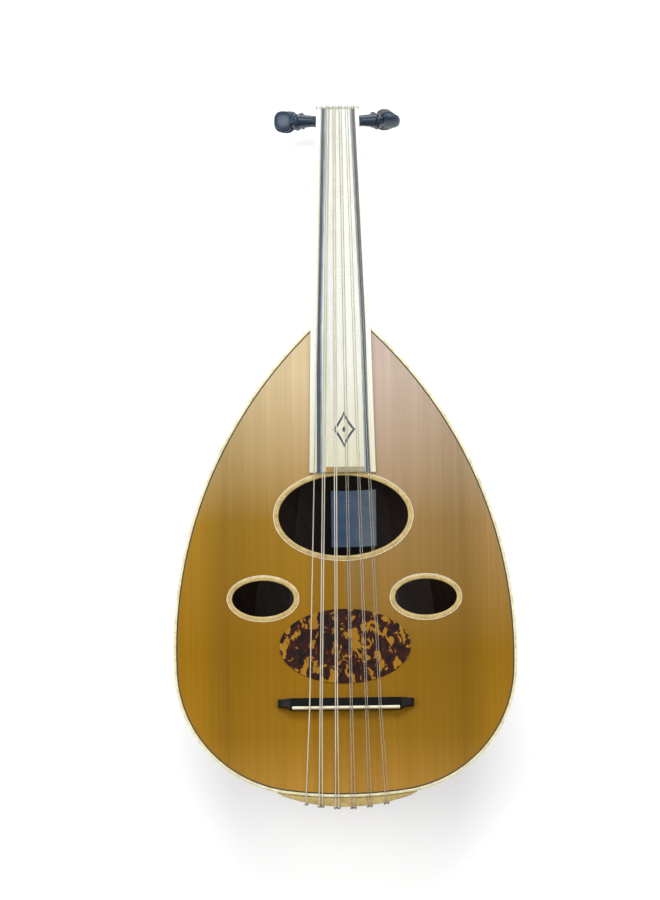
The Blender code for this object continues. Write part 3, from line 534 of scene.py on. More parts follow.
def backdrop_white():
    """White that is as bright as the picture's white whatever the light."""
    made = Surface("backdrop_white", roughness=1.0)
    made.feed("Base Color", made.ramp(made.noise(made.place(), 3.0, detail=1), *STAGE_WHITES))
    made.shader.inputs["Emission Color"].default_value = (1, 1, 1, 1)
    made.shader.inputs["Emission Strength"].default_value = 1.0
    return made.material


def lacquer_line(name, colour):
    """Dyed veneer for a thin inlaid line."""
    made = Surface(name, Coat_Weight=0.2, Coat_Roughness=0.2)
    grain = made.noise(made.place((1, 0.1, 1)), 1.5 * MM, detail=3)
    lighter = tuple(min(1.0, c * 1.7 + 0.004) for c in colour[:3]) + (1.0,)
    made.feed("Base Color", made.ramp(grain, (0.35, colour), (0.7, lighter)))
    made.feed("Roughness", made.scaled(grain, 0.3, 0.7, 0.45, 0.32))
    return made.material


MATERIALS = {
    "soundboard_spruce": spruce(),
    "light_maple": light_maple("light_maple", srgb(138, 112, 54), srgb(168, 144, 84),
                               srgb(188, 167, 110)),
    "binding_maple": light_maple("binding_maple", srgb(176, 162, 112), srgb(204, 196, 156),
                                 srgb(222, 218, 188)),
    "fingerboard_maple": fingerboard_maple(),
    "mottled_guard": tortoiseshell(),
    "ebony": ebony("ebony", srgb(5, 6, 6), srgb(17, 17, 16), specular=0.1, coat=0.03,
                   grain_stretch=0.05, grain_size=0.8 * MM, cloud_size=8 * MM, rough=0.42),
    # The pegs' blue-grey is painted light: it stands in for cool light and haze on black wood.
    "peg_ebony_painted_blue": ebony("peg_ebony_painted_blue", srgb(30, 43, 57), srgb(48, 64, 81), specular=0.22, coat=0.1,
                       grain_stretch=0.08, grain_size=0.7 * MM, cloud_size=6 * MM, rough=0.4),
    "bone": bone("bone", srgb(208, 197, 168), srgb(232, 224, 200)),
    "nut_bone": bone("nut_bone", srgb(206, 206, 194), srgb(224, 226, 218)),
    "rib_wood": wood("rib_walnut", srgb(34, 22, 16), srgb(74, 50, 34), stretch=(1, 0.03, 1),
                     attribute="grain", band=14 * MM, line=1.1 * MM, shine=0.4, coat=0.1),
    "rib_light": wood("stringer_maple", srgb(180, 146, 92), srgb(214, 186, 130), stretch=(1, 0.03, 1),
                      attribute="grain", band=10 * MM, line=1 * MM),
    "neck_wood": wood("neck_mahogany", srgb(74, 36, 22), srgb(122, 66, 42), stretch=(1, 0.03, 1),
                      band=16 * MM, line=1.3 * MM, coat=0.4),
    "pegbox_wood": wood("pegbox_walnut", srgb(44, 27, 20), srgb(88, 56, 38), stretch=(1, 0.25, 0.05),
                        band=12 * MM, line=1.0 * MM, coat=0.4),
    "block_wood": wood("block_pine", srgb(158, 118, 70), srgb(204, 166, 112), band=9 * MM, line=1.5 * MM,
                       shine=0.6, coat=0.0),
    "brace_wood": wood("brace_spruce", srgb(168, 132, 84), srgb(212, 180, 130), stretch=(0.02, 1, 1),
                       band=9 * MM, line=1.5 * MM, shine=0.6, coat=0.0),
    "wound_string": wound_string(),
    "nylon_string": nylon(),
    "paper": paper(),
    "floor": floor_white(),
    "backdrop": backdrop_white(),
    "dark_line": lacquer_line("dark_line", srgb(34, 26, 20)),
    "black_line": lacquer_line("black_line", srgb(36, 44, 54)),
    "grey_line": lacquer_line("grey_line", srgb(112, 124, 132)),
    "tan_line": lacquer_line("tan_line", srgb(190, 186, 168)),
    "end_strip": lacquer_line("end_strip", srgb(128, 118, 88)),
    "amber_patch": lacquer_line("amber_patch", srgb(132, 98, 36)),
}


# -------- mesh helpers


def add_piece(name, bm, surface, body="oud_body", stands_for=(), sharp=35):
    """Puts a finished mesh into the scene as one named piece on a body."""
    bmesh.ops.recalc_face_normals(bm, faces=bm.faces)
    mesh = bpy.data.meshes.new(name)
    bm.to_mesh(mesh)
    bm.free()
    mesh.materials.append(MATERIALS[surface])
    mesh.shade_smooth()
    mesh.set_sharp_from_angle(angle=radians(sharp))
    obj = bpy.data.objects.new(name, mesh)
    bpy.context.scene.collection.objects.link(obj)
    if body:
        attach(obj, body)
    if stands_for:
        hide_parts(*stands_for)
    return obj


def loft(sections, ring=False, grain=None):
    """A closed mesh through loops of equally many points. A ring joins the last loop to the first.

    grain(section, point) gives a point's place in the wood: across the grain, along it, and its plank.
    """
    bm = bmesh.new()
    layer = bm.verts.layers.float_vector.new("grain") if grain else None
    rows = []
    for i, section in enumerate(sections):
        row = [bm.verts.new(point) for point in section]
        if grain:
            for j, vert in enumerate(row):
                vert[layer] = grain(i, j)
        rows.append(row)
    count = len(rows[0])
    for near, far in list(zip(rows, rows[1:])) + ([(rows[-1], rows[0])] if ring else []):
        for i in range(count):
            j = (i + 1) % count
            bm.faces.new((near[i], near[j], far[j], far[i]))
    if not ring:
        bm.faces.new(rows[0])
        bm.faces.new(rows[-1])
    return bm


def tube(points, radius):
    """A round rod along points."""
    curve = bpy.data.curves.new("route", "CURVE")
    curve.dimensions = "3D"
    curve.bevel_depth = radius
    curve.bevel_resolution = 2
    curve.use_fill_caps = True
    spline = curve.splines.new("POLY")
    spline.points.add(len(points) - 1)
    for point, spot in zip(spline.points, points):
        point.co = (*spot, 1)
    obj = bpy.data.objects.new("route", curve)
    bpy.context.scene.collection.objects.link(obj)
    bpy.context.view_layer.update()
    mesh = bpy.data.meshes.new_from_object(obj.evaluated_get(bpy.context.evaluated_depsgraph_get()))
    bpy.data.objects.remove(obj)
    bpy.data.curves.remove(curve)
    bm = bmesh.new()
    bm.from_mesh(mesh)
    bpy.data.meshes.remove(mesh)
    bmesh.ops.remove_doubles(bm, verts=bm.verts, dist=0.005 * MM)
    return bm


def refined(node, surface, width, body="oud_body"):
    """A copy of a CAD node with its edges rounded, which stands for it."""
    bm = bmesh.new()
    bm.from_mesh(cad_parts[node].data)
    bmesh.ops.remove_doubles(bm, verts=bm.verts, dist=0.01 * MM)
    bmesh.ops.dissolve_limit(bm, angle_limit=radians(1), verts=bm.verts, edges=bm.edges)
    obj = add_piece("fine_" + node, bm, surface, body, [node], sharp=20)
    bevel = obj.modifiers.new("rounded", "BEVEL")
    bevel.width = width
    bevel.segments = 3
    bevel.limit_method = "ANGLE"
    bevel.angle_limit = radians(40)
    bevel.harden_normals = True


def spread(first, last, count):
    return [first + (last - first) * i / (count - 1) for i in range(count)]


def full_turn(steps):
    return [2 * pi * i / steps for i in range(steps)]


def signed_power(value, power):
    return abs(value) ** power * (1 if value > 0 else -1)


def ellipse_point(centre, radii, out, turn, z):
    """A point this far outside an ellipse."""
    return Vector((centre[0] + (radii[0] + out) * cos(turn), centre[1] + (radii[1] + out) * sin(turn), z))


# -------- outline and bowl


def circle_centre(near, near_distance, far, far_distance):
    dx, ds = far[0] - near[0], far[1] - near[1]
    apart = hypot(dx, ds)
    along = (near_distance**2 - far_distance**2 + apart**2) / (2 * apart)
    across = sqrt(near_distance**2 - along**2)
    foot = (near[0] + along * dx / apart, near[1] + along * ds / apart)
    shift = (across * ds / apart, -across * dx / apart)
    return max((foot[0] + side * shift[0], foot[1] + side * shift[1]) for side in (1, -1))


SIDE_CENTRE = (HALF_WIDTH - SIDE_RADIUS, WIDEST_S)
TAIL_CENTRE = (0.0, TAIL_RADIUS)
HIP_CENTRE = circle_centre(SIDE_CENTRE, SIDE_RADIUS - HIP_RADIUS, TAIL_CENTRE, TAIL_RADIUS - HIP_RADIUS)
TAIL_END = atan2(HIP_CENTRE[0] - TAIL_CENTRE[0], TAIL_CENTRE[1] - HIP_CENTRE[1])
HIP_END = atan2(HIP_CENTRE[0] - SIDE_CENTRE[0], SIDE_CENTRE[1] - HIP_CENTRE[1])


def rim_point(angle, inset=0.0):
    """(x, s) on the face's outline where its outward normal has this angle from the tail."""
    if angle <= TAIL_END:
        centre, radius = TAIL_CENTRE, TAIL_RADIUS
    elif angle <= HIP_END:
        centre, radius = HIP_CENTRE, HIP_RADIUS
    else:
        centre, radius = SIDE_CENTRE, SIDE_RADIUS
    return centre[0] + (radius - inset) * sin(angle), centre[1] - (radius - inset) * cos(angle)


def tail_angle(half_width, inset=0.0):
    on_tail_arc = half_width / (TAIL_RADIUS - inset)
    if on_tail_arc <= sin(TAIL_END):
        return asin(on_tail_arc)
    return asin(min(1.0, (half_width - HIP_CENTRE[0]) / (HIP_RADIUS - inset)))


def joint_angle(inset=0.0):
    return acos((WIDEST_S - BODY_LENGTH) / (SIDE_RADIUS - inset))


def bowl_point(angle, turn, inset=0.0, share=1.0):
    """A point of the bowl, or of a smaller one inside it."""
    x, s = rim_point(angle, inset)
    depth = DEPTH_RATIO * x * sin(turn) * share
    y = TAIL_Y + s + TAIL_TUCK * max(0.0, cos(angle)) * depth
    return Vector((x * cos(turn) * share, y, RIM_Z - depth))


def rib_stations():
    flat = (pi / 2 - FLAT_HALF_ANGLE, pi / 2 + FLAT_HALF_ANGLE)
    last = acos((WIDEST_S - BODY_LENGTH + 0.6 * MM) / SIDE_RADIUS)
    return spread(tail_angle(RIB_TIP_HALF_WIDTH), flat[0], 30) + spread(flat[1], last, 26)


def rib_share(turn, number):
    """How far out a rib is at this turn: nearly flat across, and no lower than its CAD solid."""
    off_middle = turn - (number + 0.5) * RIB_ANGLE
    return cos(RIB_ANGLE / 2) * ((1 - RIB_ROUNDNESS) / cos(off_middle) + RIB_ROUNDNESS)


def make_rib(number, stations, along):
    low, high = number * RIB_ANGLE, (number + 1) * RIB_ANGLE
    sections, across = [], []
    for angle in stations:
        x = rim_point(angle)[0]
        loop, places = [], []
        for inset, gap in ((0.0, STRINGER_WIDTH / 2 + 0.02 * MM), (RIB_THICKNESS, 0.08 * MM)):
            first = low + (gap / x if number else 0.0)
            last = high - (gap / x if number < RIB_COUNT - 1 else 0.0)
            turns = spread(first, last, 7) if inset == 0 else spread(last, first, 7)
            loop += [bowl_point(angle, turn, inset, rib_share(turn, number)) for turn in turns]
            places += [turn * x for turn in turns]
        sections.append(loop)
        across.append(places)
    bm = loft(sections, grain=lambda i, j: Vector((across[i][j], along[i], number * 0.31)))
    node = f"rib_{number + 1:02d}"
    add_piece("fine_" + node, bm, "rib_wood", stands_for=[node])


def make_stringer(number, stations, along):
    """A thin light strip between two ribs, wedge-shaped, so that it shows only on the outside."""
    turn = number * RIB_ANGLE
    share = rib_share(turn, number)
    sections = []
    for angle in stations:
        half = STRINGER_WIDTH / 2 / rim_point(angle)[0]
        tip, depth = 0.1 * half, 0.8 * RIB_THICKNESS
        corners = [(turn - half, 0.0), (turn + half, 0.0), (turn + tip, depth), (turn - tip, depth)]
        sections.append([bowl_point(angle, t, inset, share) for t, inset in corners])
    bm = loft(sections, grain=lambda i, j: Vector((j * MM, along[i], number * 0.17)))
    add_piece(f"stringer_{number:02d}", bm, "rib_light")


def make_bowl():
    stations = rib_stations()
    along = [0.0]
    for near, far in zip(stations, stations[1:]):
        a, b = rim_point(near), rim_point(far)
        along.append(along[-1] + hypot(b[0] - a[0], b[1] - a[1]))
    for number in range(RIB_COUNT):
        make_rib(number, stations, along)
    for number in range(1, RIB_COUNT):
        make_stringer(number, stations, along)


# -------- face


def rim_sweep(profile, count=180):
    """A profile of (inset, height over the face) swept round the face, from neck side to neck side."""
    sections = []
    for share in spread(-1.0, 1.0, count):
        loop = []
        for inset, height in profile:
            x, s = rim_point(abs(share) * joint_angle(inset), inset)
            loop.append(Vector((x if share > 0 else -x, TAIL_Y + s, FACE_Z + height)))
        sections.append(loop)
    return loft(sections)


def make_rim():
    low = -BINDING_THICKNESS
    profile = [(0.0, low), (0.0, -0.9 * MM), (0.2 * MM, -0.35 * MM), (0.75 * MM, -0.02 * MM)]
    profile += [(1.4 * MM, 0.06 * MM), (BINDING_WIDTH - 0.1 * MM, 0.0), (BINDING_WIDTH, low)]
    add_piece("fine_edge_binding", rim_sweep(profile), "binding_maple", stands_for=["edge_binding"])
    inner = BINDING_WIDTH + 0.02 * MM
    outer = inner + RIM_LINE_WIDTH
    line = [(inner, -0.6 * MM), (inner, 0.03 * MM), (outer, 0.03 * MM), (outer, -0.6 * MM)]
    add_piece("rim_line", rim_sweep(line), "dark_line")


def ellipse_sweep(profile, centre, radii):
    """A profile of (distance outside the ellipse, height over the face) carried round it."""
    sections = []
    for turn in full_turn(ROUND_STEPS):
        sections.append([ellipse_point(centre, radii, out, turn, FACE_Z + up) for out, up in profile])
    return loft(sections, ring=True)


def make_rings():
    for name in HOLES:
        node = "soundhole_ring_" + name
        low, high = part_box(node)
        centre = ((low.x + high.x) / 2, (low.y + high.y) / 2)
        radii = ((high.x - low.x) / 2 - RING_WIDTH, (high.y - low.y) / 2 - RING_WIDTH)
        profile = [(0.0, -RING_THICKNESS), (0.0, -0.2 * MM), (0.35 * MM, 0.15 * MM), (1.4 * MM, 0.3 * MM)]
        profile += [(RING_WIDTH - 1.4 * MM, 0.3 * MM), (RING_WIDTH - 0.3 * MM, 0.1 * MM)]
        profile += [(RING_WIDTH, -0.1 * MM), (RING_WIDTH, -RING_THICKNESS)]
        bm = ellipse_sweep(profile, centre, radii)
        add_piece("fine_" + node, bm, "light_maple", stands_for=[node])
        inner = RING_WIDTH + 0.02 * MM
        outer = RING_WIDTH + 0.5 * MM
        line = [(inner, -0.5 * MM), (inner, 0.02 * MM), (outer, 0.02 * MM), (outer, -0.5 * MM)]
        add_piece(f"ring_line_{name}", ellipse_sweep(line, centre, radii), "tan_line")


def make_guard():
    centre = (GUARD_LOW + GUARD_HIGH) / 2
    radii = (GUARD_HIGH - GUARD_LOW) / 2
    low, high = GUARD_LOW.z - 0.25 * MM, GUARD_HIGH.z
    layers = [(0.0, low), (0.0, high - 0.35 * MM), (0.12 * MM, high - 0.12 * MM), (0.4 * MM, high)]
    turns = full_turn(ROUND_STEPS)
    sections = [[ellipse_point(centre, radii, -inset, turn, z) for turn in turns] for inset, z in layers]
    add_piece("fine_plectrum_guard", loft(sections), "mottled_guard", stands_for=["plectrum_guard"],
              sharp=15)


# -------- neck and fingerboard


def board_half_width(s):
    hole, joint, nut = BOARD_HALF_WIDTHS
    if s < BODY_LENGTH:
        return hole + (joint - hole) * (s - BOARD_START_S) / (BODY_LENGTH - BOARD_START_S)
    return joint + (nut - joint) * (s - BODY_LENGTH) / (BOARD_END_S - BODY_LENGTH)


def board_strip(name, surface, edge_at, width, s_range=None, proud=0.03 * MM):
    """A thin inlay that runs along the fingerboard. edge_at(s) is x of its bass edge."""
    start, end = s_range or (BOARD_START_S + 0.2 * MM, BOARD_END_S - 0.2 * MM)
    low, high = BOARD_HIGH.z - 0.4 * MM, BOARD_HIGH.z + proud
    bends = [BODY_LENGTH] if start < BODY_LENGTH < end else []
    sections = []
    for s in [start, *bends, end]:
        x = edge_at(s)
        loop = [(x, low), (x, high), (x + width, high), (x + width, low)]
        sections.append([Vector((u, TAIL_Y + s, z)) for u, z in loop])
    add_piece(name, loft(sections), surface)


def make_fingerboard():
    refined("fingerboard", "fingerboard_maple", 0.5 * MM)

    for name, (surface, side, at_hole, at_nut, width) in STRIPES.items():

        def edge_at(s):
            share = (s - BOARD_START_S) / (BOARD_END_S - BOARD_START_S)
            return side * (board_half_width(s) - at_hole - (at_nut - at_hole) * share)

        board_strip(name, surface, edge_at, width)

    for name, place, width in (("plank_joint_1", -0.19, 1.5 * MM), ("plank_joint_2", -0.47, 0.5 * MM)):
        board_strip(name, "tan_line", lambda s: place * board_half_width(s), width, proud=0.015 * MM)
    half = NUT_HALF_WIDTH - 0.5 * MM
    seam = (BOARD_END_S - 0.6 * MM, NUT_LOW.y - TAIL_Y + 0.1 * MM)
    board_strip("nut_seam", "nut_bone", lambda s: -half, 2 * half, seam, 0.0)
    end = (BOARD_START_S + 0.6 * MM, BOARD_START_S + 6 * MM)
    board_strip("end_strip", "end_strip", lambda s: -16.5 * MM, 39.5 * MM, end, 0.02 * MM)
    board_strip("end_patch", "amber_patch", lambda s: -16.2 * MM, 7.8 * MM, end, 0.04 * MM)
    make_star()


def make_star():
    """A plain four-pointed star, inlaid as a thin line, with a small lozenge at its middle."""
    middle = Vector((STAR_X, TAIL_Y + STAR_S, BOARD_HIGH.z))
    low, high = -0.3 * MM, 0.04 * MM

    def around(half_size, z, power):
        loop = []
        for turn in full_turn(96):
            x = half_size[0] * signed_power(cos(turn), power)
            y = half_size[1] * signed_power(sin(turn), power)
            loop.append(middle + Vector((x, y, z)))
        return loop

    outside = [around(STAR_HALF_SIZE, z, 2.3) for z in (low, high)]
    inside = [around(STAR_INNER_HALF_SIZE, z, 2.45) for z in (high, low)]
    corners = zip(*outside, *inside)
    add_piece("star_inlay", loft([list(loop) for loop in corners], ring=True), "black_line")
    dot = [around(STAR_DOT_HALF_SIZE, z, 1.5) for z in (low, high)]
    add_piece("star_middle", loft(dot), "black_line")


def half_round(s, half_width, depth, top, cut_slope=0.0, steps=40):
    loop = []
    for i in range(steps + 1):
        turn = pi * i / steps
        down = depth * sin(turn)
        loop.append(Vector((half_width * cos(turn), TAIL_Y + s - cut_slope * down, top - down)))
    return loop


def make_neck():
    start = BODY_LENGTH + GAP
    joint_depth = DEPTH_RATIO * JOINT_HALF_WIDTH + FACE_Z - RIM_Z
    sections = []
    shares = spread(0.0, 1.0, 25)
    for share in shares:
        s = start + (NUT_S - start) * share
        half = JOINT_HALF_WIDTH + (NUT_HALF_WIDTH - JOINT_HALF_WIDTH) * share
        depth = joint_depth + (NECK_NUT_DEPTH - joint_depth) * share
        slope = NECK_CUT_SLOPE * max(0.0, (share - 0.75) / 0.25)
        sections.append(half_round(s, half, depth, FACE_Z, slope))
    add_piece("fine_neck", loft(sections), "neck_wood", stands_for=["neck"])


# -------- end clasp


def bowl_s(x, depth, inset=0.0):
    half_width = hypot(x, max(0.0, depth) / DEPTH_RATIO)
    angle = tail_angle(half_width, inset)
    return rim_point(angle, inset)[1] + TAIL_TUCK * cos(angle) * max(0.0, depth)


def clasp_depth(x):
    return 4 * MM + (CLASP_DEPTH - 4 * MM) * (1 - (x / CLASP_HALF_WIDTH) ** 2)


def clasp_outer(x, depth):
    along = 1 - (x / CLASP_HALF_WIDTH) ** 2
    down = sqrt(max(0.0, 1 - (max(0.0, depth) / clasp_depth(x)) ** 2))
    edge = CLASP_EDGE * min(1.0, 0.1 + 5 * along)
    return bowl_s(x, depth) - GAP - edge - CLASP_BULGE * along * down


def make_end_clasp():
    """The shield over the ribs' tail ends, rounded along its top edge."""
    top = RIM_Z - CLASP_TOP_Z
    soften = 0.9 * MM
    sections = []
    for x in spread(-CLASP_HALF_WIDTH, CLASP_HALF_WIDTH, 81):
        loop = []
        for i in range(5):
            turn = pi / 2 * (1 - i / 4)
            depth = top + soften * (1 - sin(turn))
            s = clasp_outer(x, 0.0) + min(soften, CLASP_EDGE) * (1 - cos(turn))
            loop.append(Vector((x, TAIL_Y + s, RIM_Z - depth)))
        loop = [Vector((x, TAIL_Y + bowl_s(x, 0.0) - GAP, RIM_Z - top))] + loop
        for depth in spread(top + soften, clasp_depth(x), 22)[1:]:
            loop.append(Vector((x, TAIL_Y + clasp_outer(x, depth), RIM_Z - depth)))
        for depth in spread(clasp_depth(x), top + soften, 12):
            loop.append(Vector((x, TAIL_Y + bowl_s(x, depth) - 0.05 * MM, RIM_Z - depth)))
        sections.append(loop)
    add_piece("fine_end_clasp", loft(sections), "light_maple", stands_for=["end_clasp"],
              sharp=50)


# -------- pegs


FRONT = Vector((0, sin(PEGBOX_BEND), cos(PEGBOX_BEND)))
ALONG = Vector((0, cos(PEGBOX_BEND), -sin(PEGBOX_BEND)))


def peg_node(number):
    return f"peg_{number:02d}"


def peg_side(number):
    return -1 if number <= BASS_PEGS else 1


def peg_radius(x):
    """Radius of a peg's shaft at x, for a peg with its head on the +X side."""
    return PEG_TIP_RADIUS + (PEG_HEAD_RADIUS - PEG_TIP_RADIUS) * (x + PEG_REACH) / (2 * PEG_REACH)


def peg_axis(number):
    low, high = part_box(peg_node(number))
    return Vector((0, (low.y + high.y) / 2, (low.z + high.z) / 2))


def peg_cheek(number):
    """Half the pegbox's width where a peg crosses it."""
    low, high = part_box(peg_node(number))
    return (high.x if peg_side(number) < 0 else -low.x) - PEG_TIP_OVERHANG


def peg_profile(cheek):
    """(x, radius) along a peg: a domed tip, the tapered shaft, a bead, the stem and its collar."""
    tip = -cheek - PEG_TIP_OVERHANG
    stem = cheek + PEG_STEM_LENGTH
    profile = [(tip, 0.6 * MM), (tip, PEG_TIP_RADIUS - 1.1 * MM)]
    profile += [(tip + 0.25 * MM, PEG_TIP_RADIUS - 0.5 * MM)]
    profile += [(tip + 0.9 * MM, peg_radius(tip)), (cheek + 1.2 * MM, peg_radius(cheek))]
    profile += [(cheek + x * MM, radius * MM) for x, radius in PEG_BEAD]
    profile += [(stem + x * MM, radius * MM) for x, radius in PEG_COLLAR]
    profile += [(stem + PADDLE_OVERLAP + 3 * MM, 3.2 * MM), (stem + PADDLE_OVERLAP + 3.4 * MM, 0.6 * MM)]
    return profile


def turned(profile, segments=40):
    """A solid of revolution about X."""
    sections = []
    for x, radius in profile:
        sections.append([Vector((x, radius * cos(t), radius * sin(t))) for t in full_turn(segments)])
    return loft(sections)


def paddle(centre_x, turn):
    """The flat head for finger and thumb: between an oval and a square, with a rounded edge."""
    sections = []
    layers = 16
    for i in range(layers + 1):
        level = -cos(pi * i / layers)
        share = max(0.04, (1 - abs(level) ** 3.2) ** (1 / 2.4))
        loop = []
        for t in full_turn(48):
            x = PADDLE_HALF_LENGTH * share * signed_power(cos(t), PADDLE_SQUARENESS)
            y = PADDLE_HALF_WIDTH * share * signed_power(sin(t), PADDLE_SQUARENESS)
            loop.append(Vector((centre_x + x, y, PADDLE_HALF_THICKNESS * level)))
        sections.append(loop)
    bm = loft(sections)
    bmesh.ops.transform(bm, matrix=Matrix.Rotation(turn, 4, "X"), verts=bm.verts)
    return bm


def united(first, second):
    """Two closed meshes as one."""
    objects = []
    for bm in (first, second):
        bmesh.ops.recalc_face_normals(bm, faces=bm.faces)
        mesh = bpy.data.meshes.new("part")
        bm.to_mesh(mesh)
        bm.free()
        objects.append(bpy.data.objects.new("part", mesh))
        bpy.context.scene.collection.objects.link(objects[-1])
    boolean = objects[0].modifiers.new("union", "BOOLEAN")
    boolean.operation = "UNION"
    boolean.object = objects[1]
    bpy.context.view_layer.update()
    depsgraph = bpy.context.evaluated_depsgraph_get()
    mesh = bpy.data.meshes.new_from_object(objects[0].evaluated_get(depsgraph))
    for obj in objects:
        bpy.data.objects.remove(obj)
    bm = bmesh.new()
    bm.from_mesh(mesh)
    return bm


def make_pegs():
    for number in range(1, PEG_COUNT + 1):
        cheek = peg_cheek(number)
        centre_x = cheek + PEG_STEM_LENGTH + PADDLE_OVERLAP + PADDLE_HALF_LENGTH
        bm = united(turned(peg_profile(cheek)), paddle(centre_x, radians(PEG_TURNS[number - 1])))
        face = Matrix.Rotation(0 if peg_side(number) > 0 else pi, 4, "Z")
        bmesh.ops.transform(bm, matrix=Matrix.Translation(peg_axis(number)) @ face, verts=bm.verts)
        node = peg_node(number)
        add_piece("fine_" + node, bm, "peg_ebony_painted_blue", node, [node])


def make_pegbox():
    for node in ("pegbox_cheek_bass", "pegbox_cheek_treble", "pegbox_floor", "pegbox_tip"):
        refined(node, "pegbox_wood", 0.7 * MM)


# -------- bridge, nut and strings


def make_bridge():
    refined("bridge_base", "ebony", 0.5 * MM, "bridge")
    refined("bridge_saddle", "bone", 0.35 * MM, "bridge")


def make_nut():
    refined("nut", "nut_bone", 0.35 * MM)


def course_places():
    """For each string: its course, and its x at the nut, the bridge and the tail."""
    places = []
    for course, (nut_x, bridge_x, tail_x) in enumerate(zip(NUT_COURSES, BRIDGE_COURSES, TAIL_COURSES)):
        for side in (0,) if course == 0 else (-1, 1):
            at_nut, at_bridge, at_tail = (side * gap for gap in PAIR_HALF_GAPS)
            places.append((course, nut_x + at_nut, bridge_x + at_bridge, tail_x + at_tail))
    return places


def peg_x(number, nut_x):
    inner = peg_cheek(number) - CHEEK_THICKNESS - 2.5 * MM
    return nut_x * min(1.0, inner / (abs(nut_x) + 0.1 * MM))


def string_finish(course):
    return "wound_string" if course < WOUND_COURSES else "nylon_string"


def shaft_radius(number, x):
    return peg_radius(peg_side(number) * x)


def speaking_route(number, nut_x, bridge_x, radius):
    """From the peg over the nut to the saddle."""
    lift = GAP + radius
    x = peg_x(number, nut_x)
    at_peg = peg_axis(number) + FRONT * (shaft_radius(number, x) + 2 * GAP + radius)
    top = NUT_HIGH.z
    return [
        Vector((x, at_peg.y, at_peg.z)),
        Vector((nut_x, NUT_HIGH.y + lift + 0.2 * MM, top - 1.3 * MM)),
        Vector((nut_x, NUT_HIGH.y - 0.2 * MM, top + lift - 0.5 * MM)),
        Vector((nut_x, NUT_HIGH.y - 1.2 * MM, top + lift)),
        Vector((bridge_x, (SADDLE_LOW.y + SADDLE_HIGH.y) / 2, SADDLE_HIGH.z + GAP + radius)),
    ]


def tail_route(bridge_x, tail_x, radius):
    """From the saddle over the tail edge to the hitch on the end clasp."""
    lift = GAP + radius
    top_y = TAIL_Y + clasp_outer(tail_x, 0.0)
    return [
        Vector((bridge_x, (SADDLE_LOW.y + SADDLE_HIGH.y) / 2, SADDLE_HIGH.z + GAP + radius)),
        Vector((tail_x, TAIL_Y + 0.8 * MM, FACE_Z + lift + GAP)),
        Vector((tail_x, top_y + 0.5 * MM, CLASP_TOP_Z + lift + GAP / 2)),
        Vector((tail_x, top_y - 0.8 * lift, CLASP_TOP_Z + 0.8 * lift)),
        Vector((tail_x, top_y - lift - GAP / 2, CLASP_TOP_Z - 0.5 * MM)),
        Vector((tail_x, TAIL_Y + clasp_outer(tail_x, 9 * MM) - lift - GAP, RIM_Z - 9 * MM)),
    ]


def winding(number, nut_x, radius, turns=4.5, steps=16):
    """The turns of a string round its peg, which lie side by side."""
    start = peg_x(number, nut_x)
    step = (-1 if start * peg_side(number) > 0 else 1) * peg_side(number) * 2.1 * radius
    points = []
    for i in range(int(turns * steps) + 1):
        turn = 2 * pi * i / steps
        x = start + step * i / steps
        around = shaft_radius(number, x) + 1.05 * radius
        spot = peg_axis(number) + around * (cos(turn) * FRONT + sin(turn) * ALONG)
        points.append(Vector((x, spot.y, spot.z)))
    return points


def make_strings():
    for number, (course, nut_x, bridge_x, tail_x) in enumerate(course_places(), start=1):
        radius = STRING_RADII[course]
        slot = string_finish(course)
        node = f"string_{number:02d}"
        route = speaking_route(number, nut_x, bridge_x, radius)
        piece = add_piece("fine_" + node, tube(route, radius), slot, None, [node])
        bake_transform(piece)
        route = tail_route(bridge_x, tail_x, radius)
        piece = add_piece(f"string_tail_{number:02d}", tube(route, radius), slot, None)
        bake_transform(piece)
        turns = tube(winding(number, nut_x, radius), radius)
        add_piece(f"string_winding_{number:02d}", turns, slot, peg_node(number))


def hitch_pin(spot, radius, length):
    """A small domed pin that points out of the end clasp."""
    profile = [(0.0, radius), (length - 0.5 * MM, radius)]
    profile += [(length - 0.15 * MM, 0.8 * radius), (length, 0.35 * radius)]
    bm = turned(profile, 16)
    place = Matrix.Translation(spot) @ Matrix.Rotation(-pi / 2, 4, "Z")
    bmesh.ops.transform(bm, matrix=place, verts=bm.verts)
    return bm


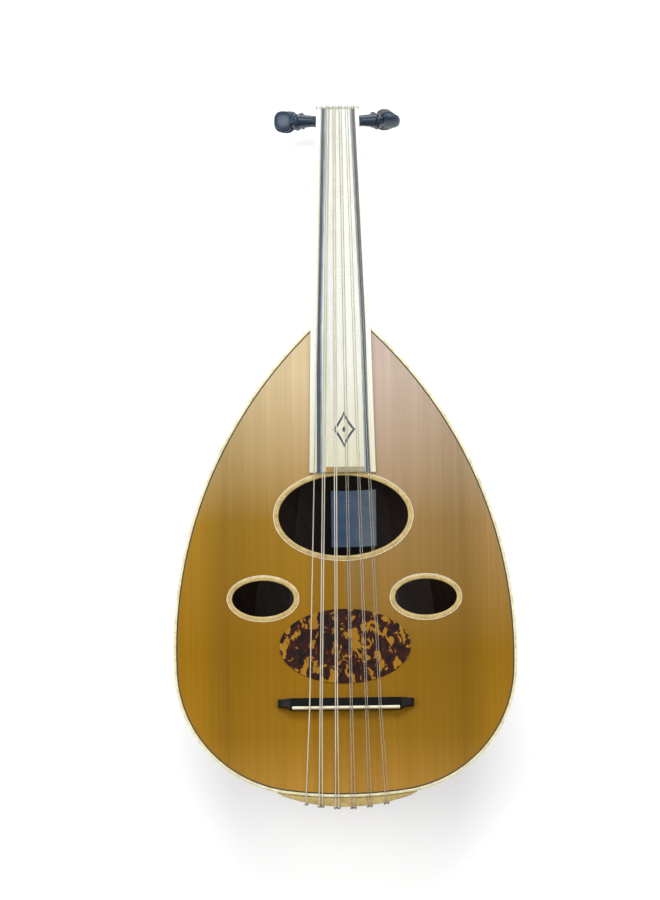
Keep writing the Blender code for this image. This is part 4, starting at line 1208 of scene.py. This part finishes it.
def make_hitches():
    """Each string's end is looped round its own pin on the end clasp."""
    for number, (course, _, _, tail_x) in enumerate(course_places(), start=1):
        radius = STRING_RADII[course]
        foot_y = TAIL_Y + clasp_outer(tail_x, HITCH_DEPTH) + HITCH_SUNK
        foot = Vector((tail_x, foot_y, RIM_Z - HITCH_DEPTH - HITCH_RADIUS))
        add_piece(f"hitch_pin_{number:02d}", hitch_pin(foot, HITCH_RADIUS, HITCH_LENGTH), "bone")
        around = HITCH_RADIUS + 1.02 * radius
        loop = []
        for i in range(30):
            turns = i / 14
            out = HITCH_SUNK + 0.1 * MM + radius + 1.6 * radius * turns
            x, z = around * sin(2 * pi * turns), around * cos(2 * pi * turns)
            loop.append(foot + Vector((x, -out, z)))
        slot = string_finish(course)
        add_piece(f"string_loop_{number:02d}", tube(loop, radius), slot)


# -------- inside


def make_label():
    """A plain paper label on the floor of the bowl, under the main soundhole."""
    inset = RIB_THICKNESS + 1.5 * MM
    sections = []
    for s in spread(*LABEL_S, 16):
        angle = acos((WIDEST_S - s) / (SIDE_RADIUS - inset))
        half = rim_point(angle, inset)[0]
        turns = [acos(x / half) for x in spread(*LABEL_X, 12)]
        top = [bowl_point(angle, turn, inset) for turn in turns]
        under = [bowl_point(angle, turn, inset - 0.2 * MM) for turn in reversed(turns)]
        sections.append(top + under)
    add_piece("paper_label", loft(sections), "paper")


def dress_cad_nodes():
    """Materials for the CAD nodes that are shown as they are."""
    surfaces = {"soundboard": "soundboard_spruce"}
    surfaces |= {name: "block_wood" for name in ("tail_block", "neck_block")}
    surfaces |= {name: "brace_wood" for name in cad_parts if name.startswith("brace_")}
    for name, surface in surfaces.items():
        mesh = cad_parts[name].data
        mesh.materials.clear()
        mesh.materials.append(MATERIALS[surface])


def main():
    make_camera()
    make_light()
    make_floor()
    make_backdrop()
    dress_cad_nodes()
    make_bowl()
    make_rim()
    make_rings()
    make_guard()
    make_fingerboard()
    make_neck()
    make_end_clasp()
    make_pegbox()
    make_pegs()
    make_nut()
    make_bridge()
    make_strings()
    make_hitches()
    make_label()


main()
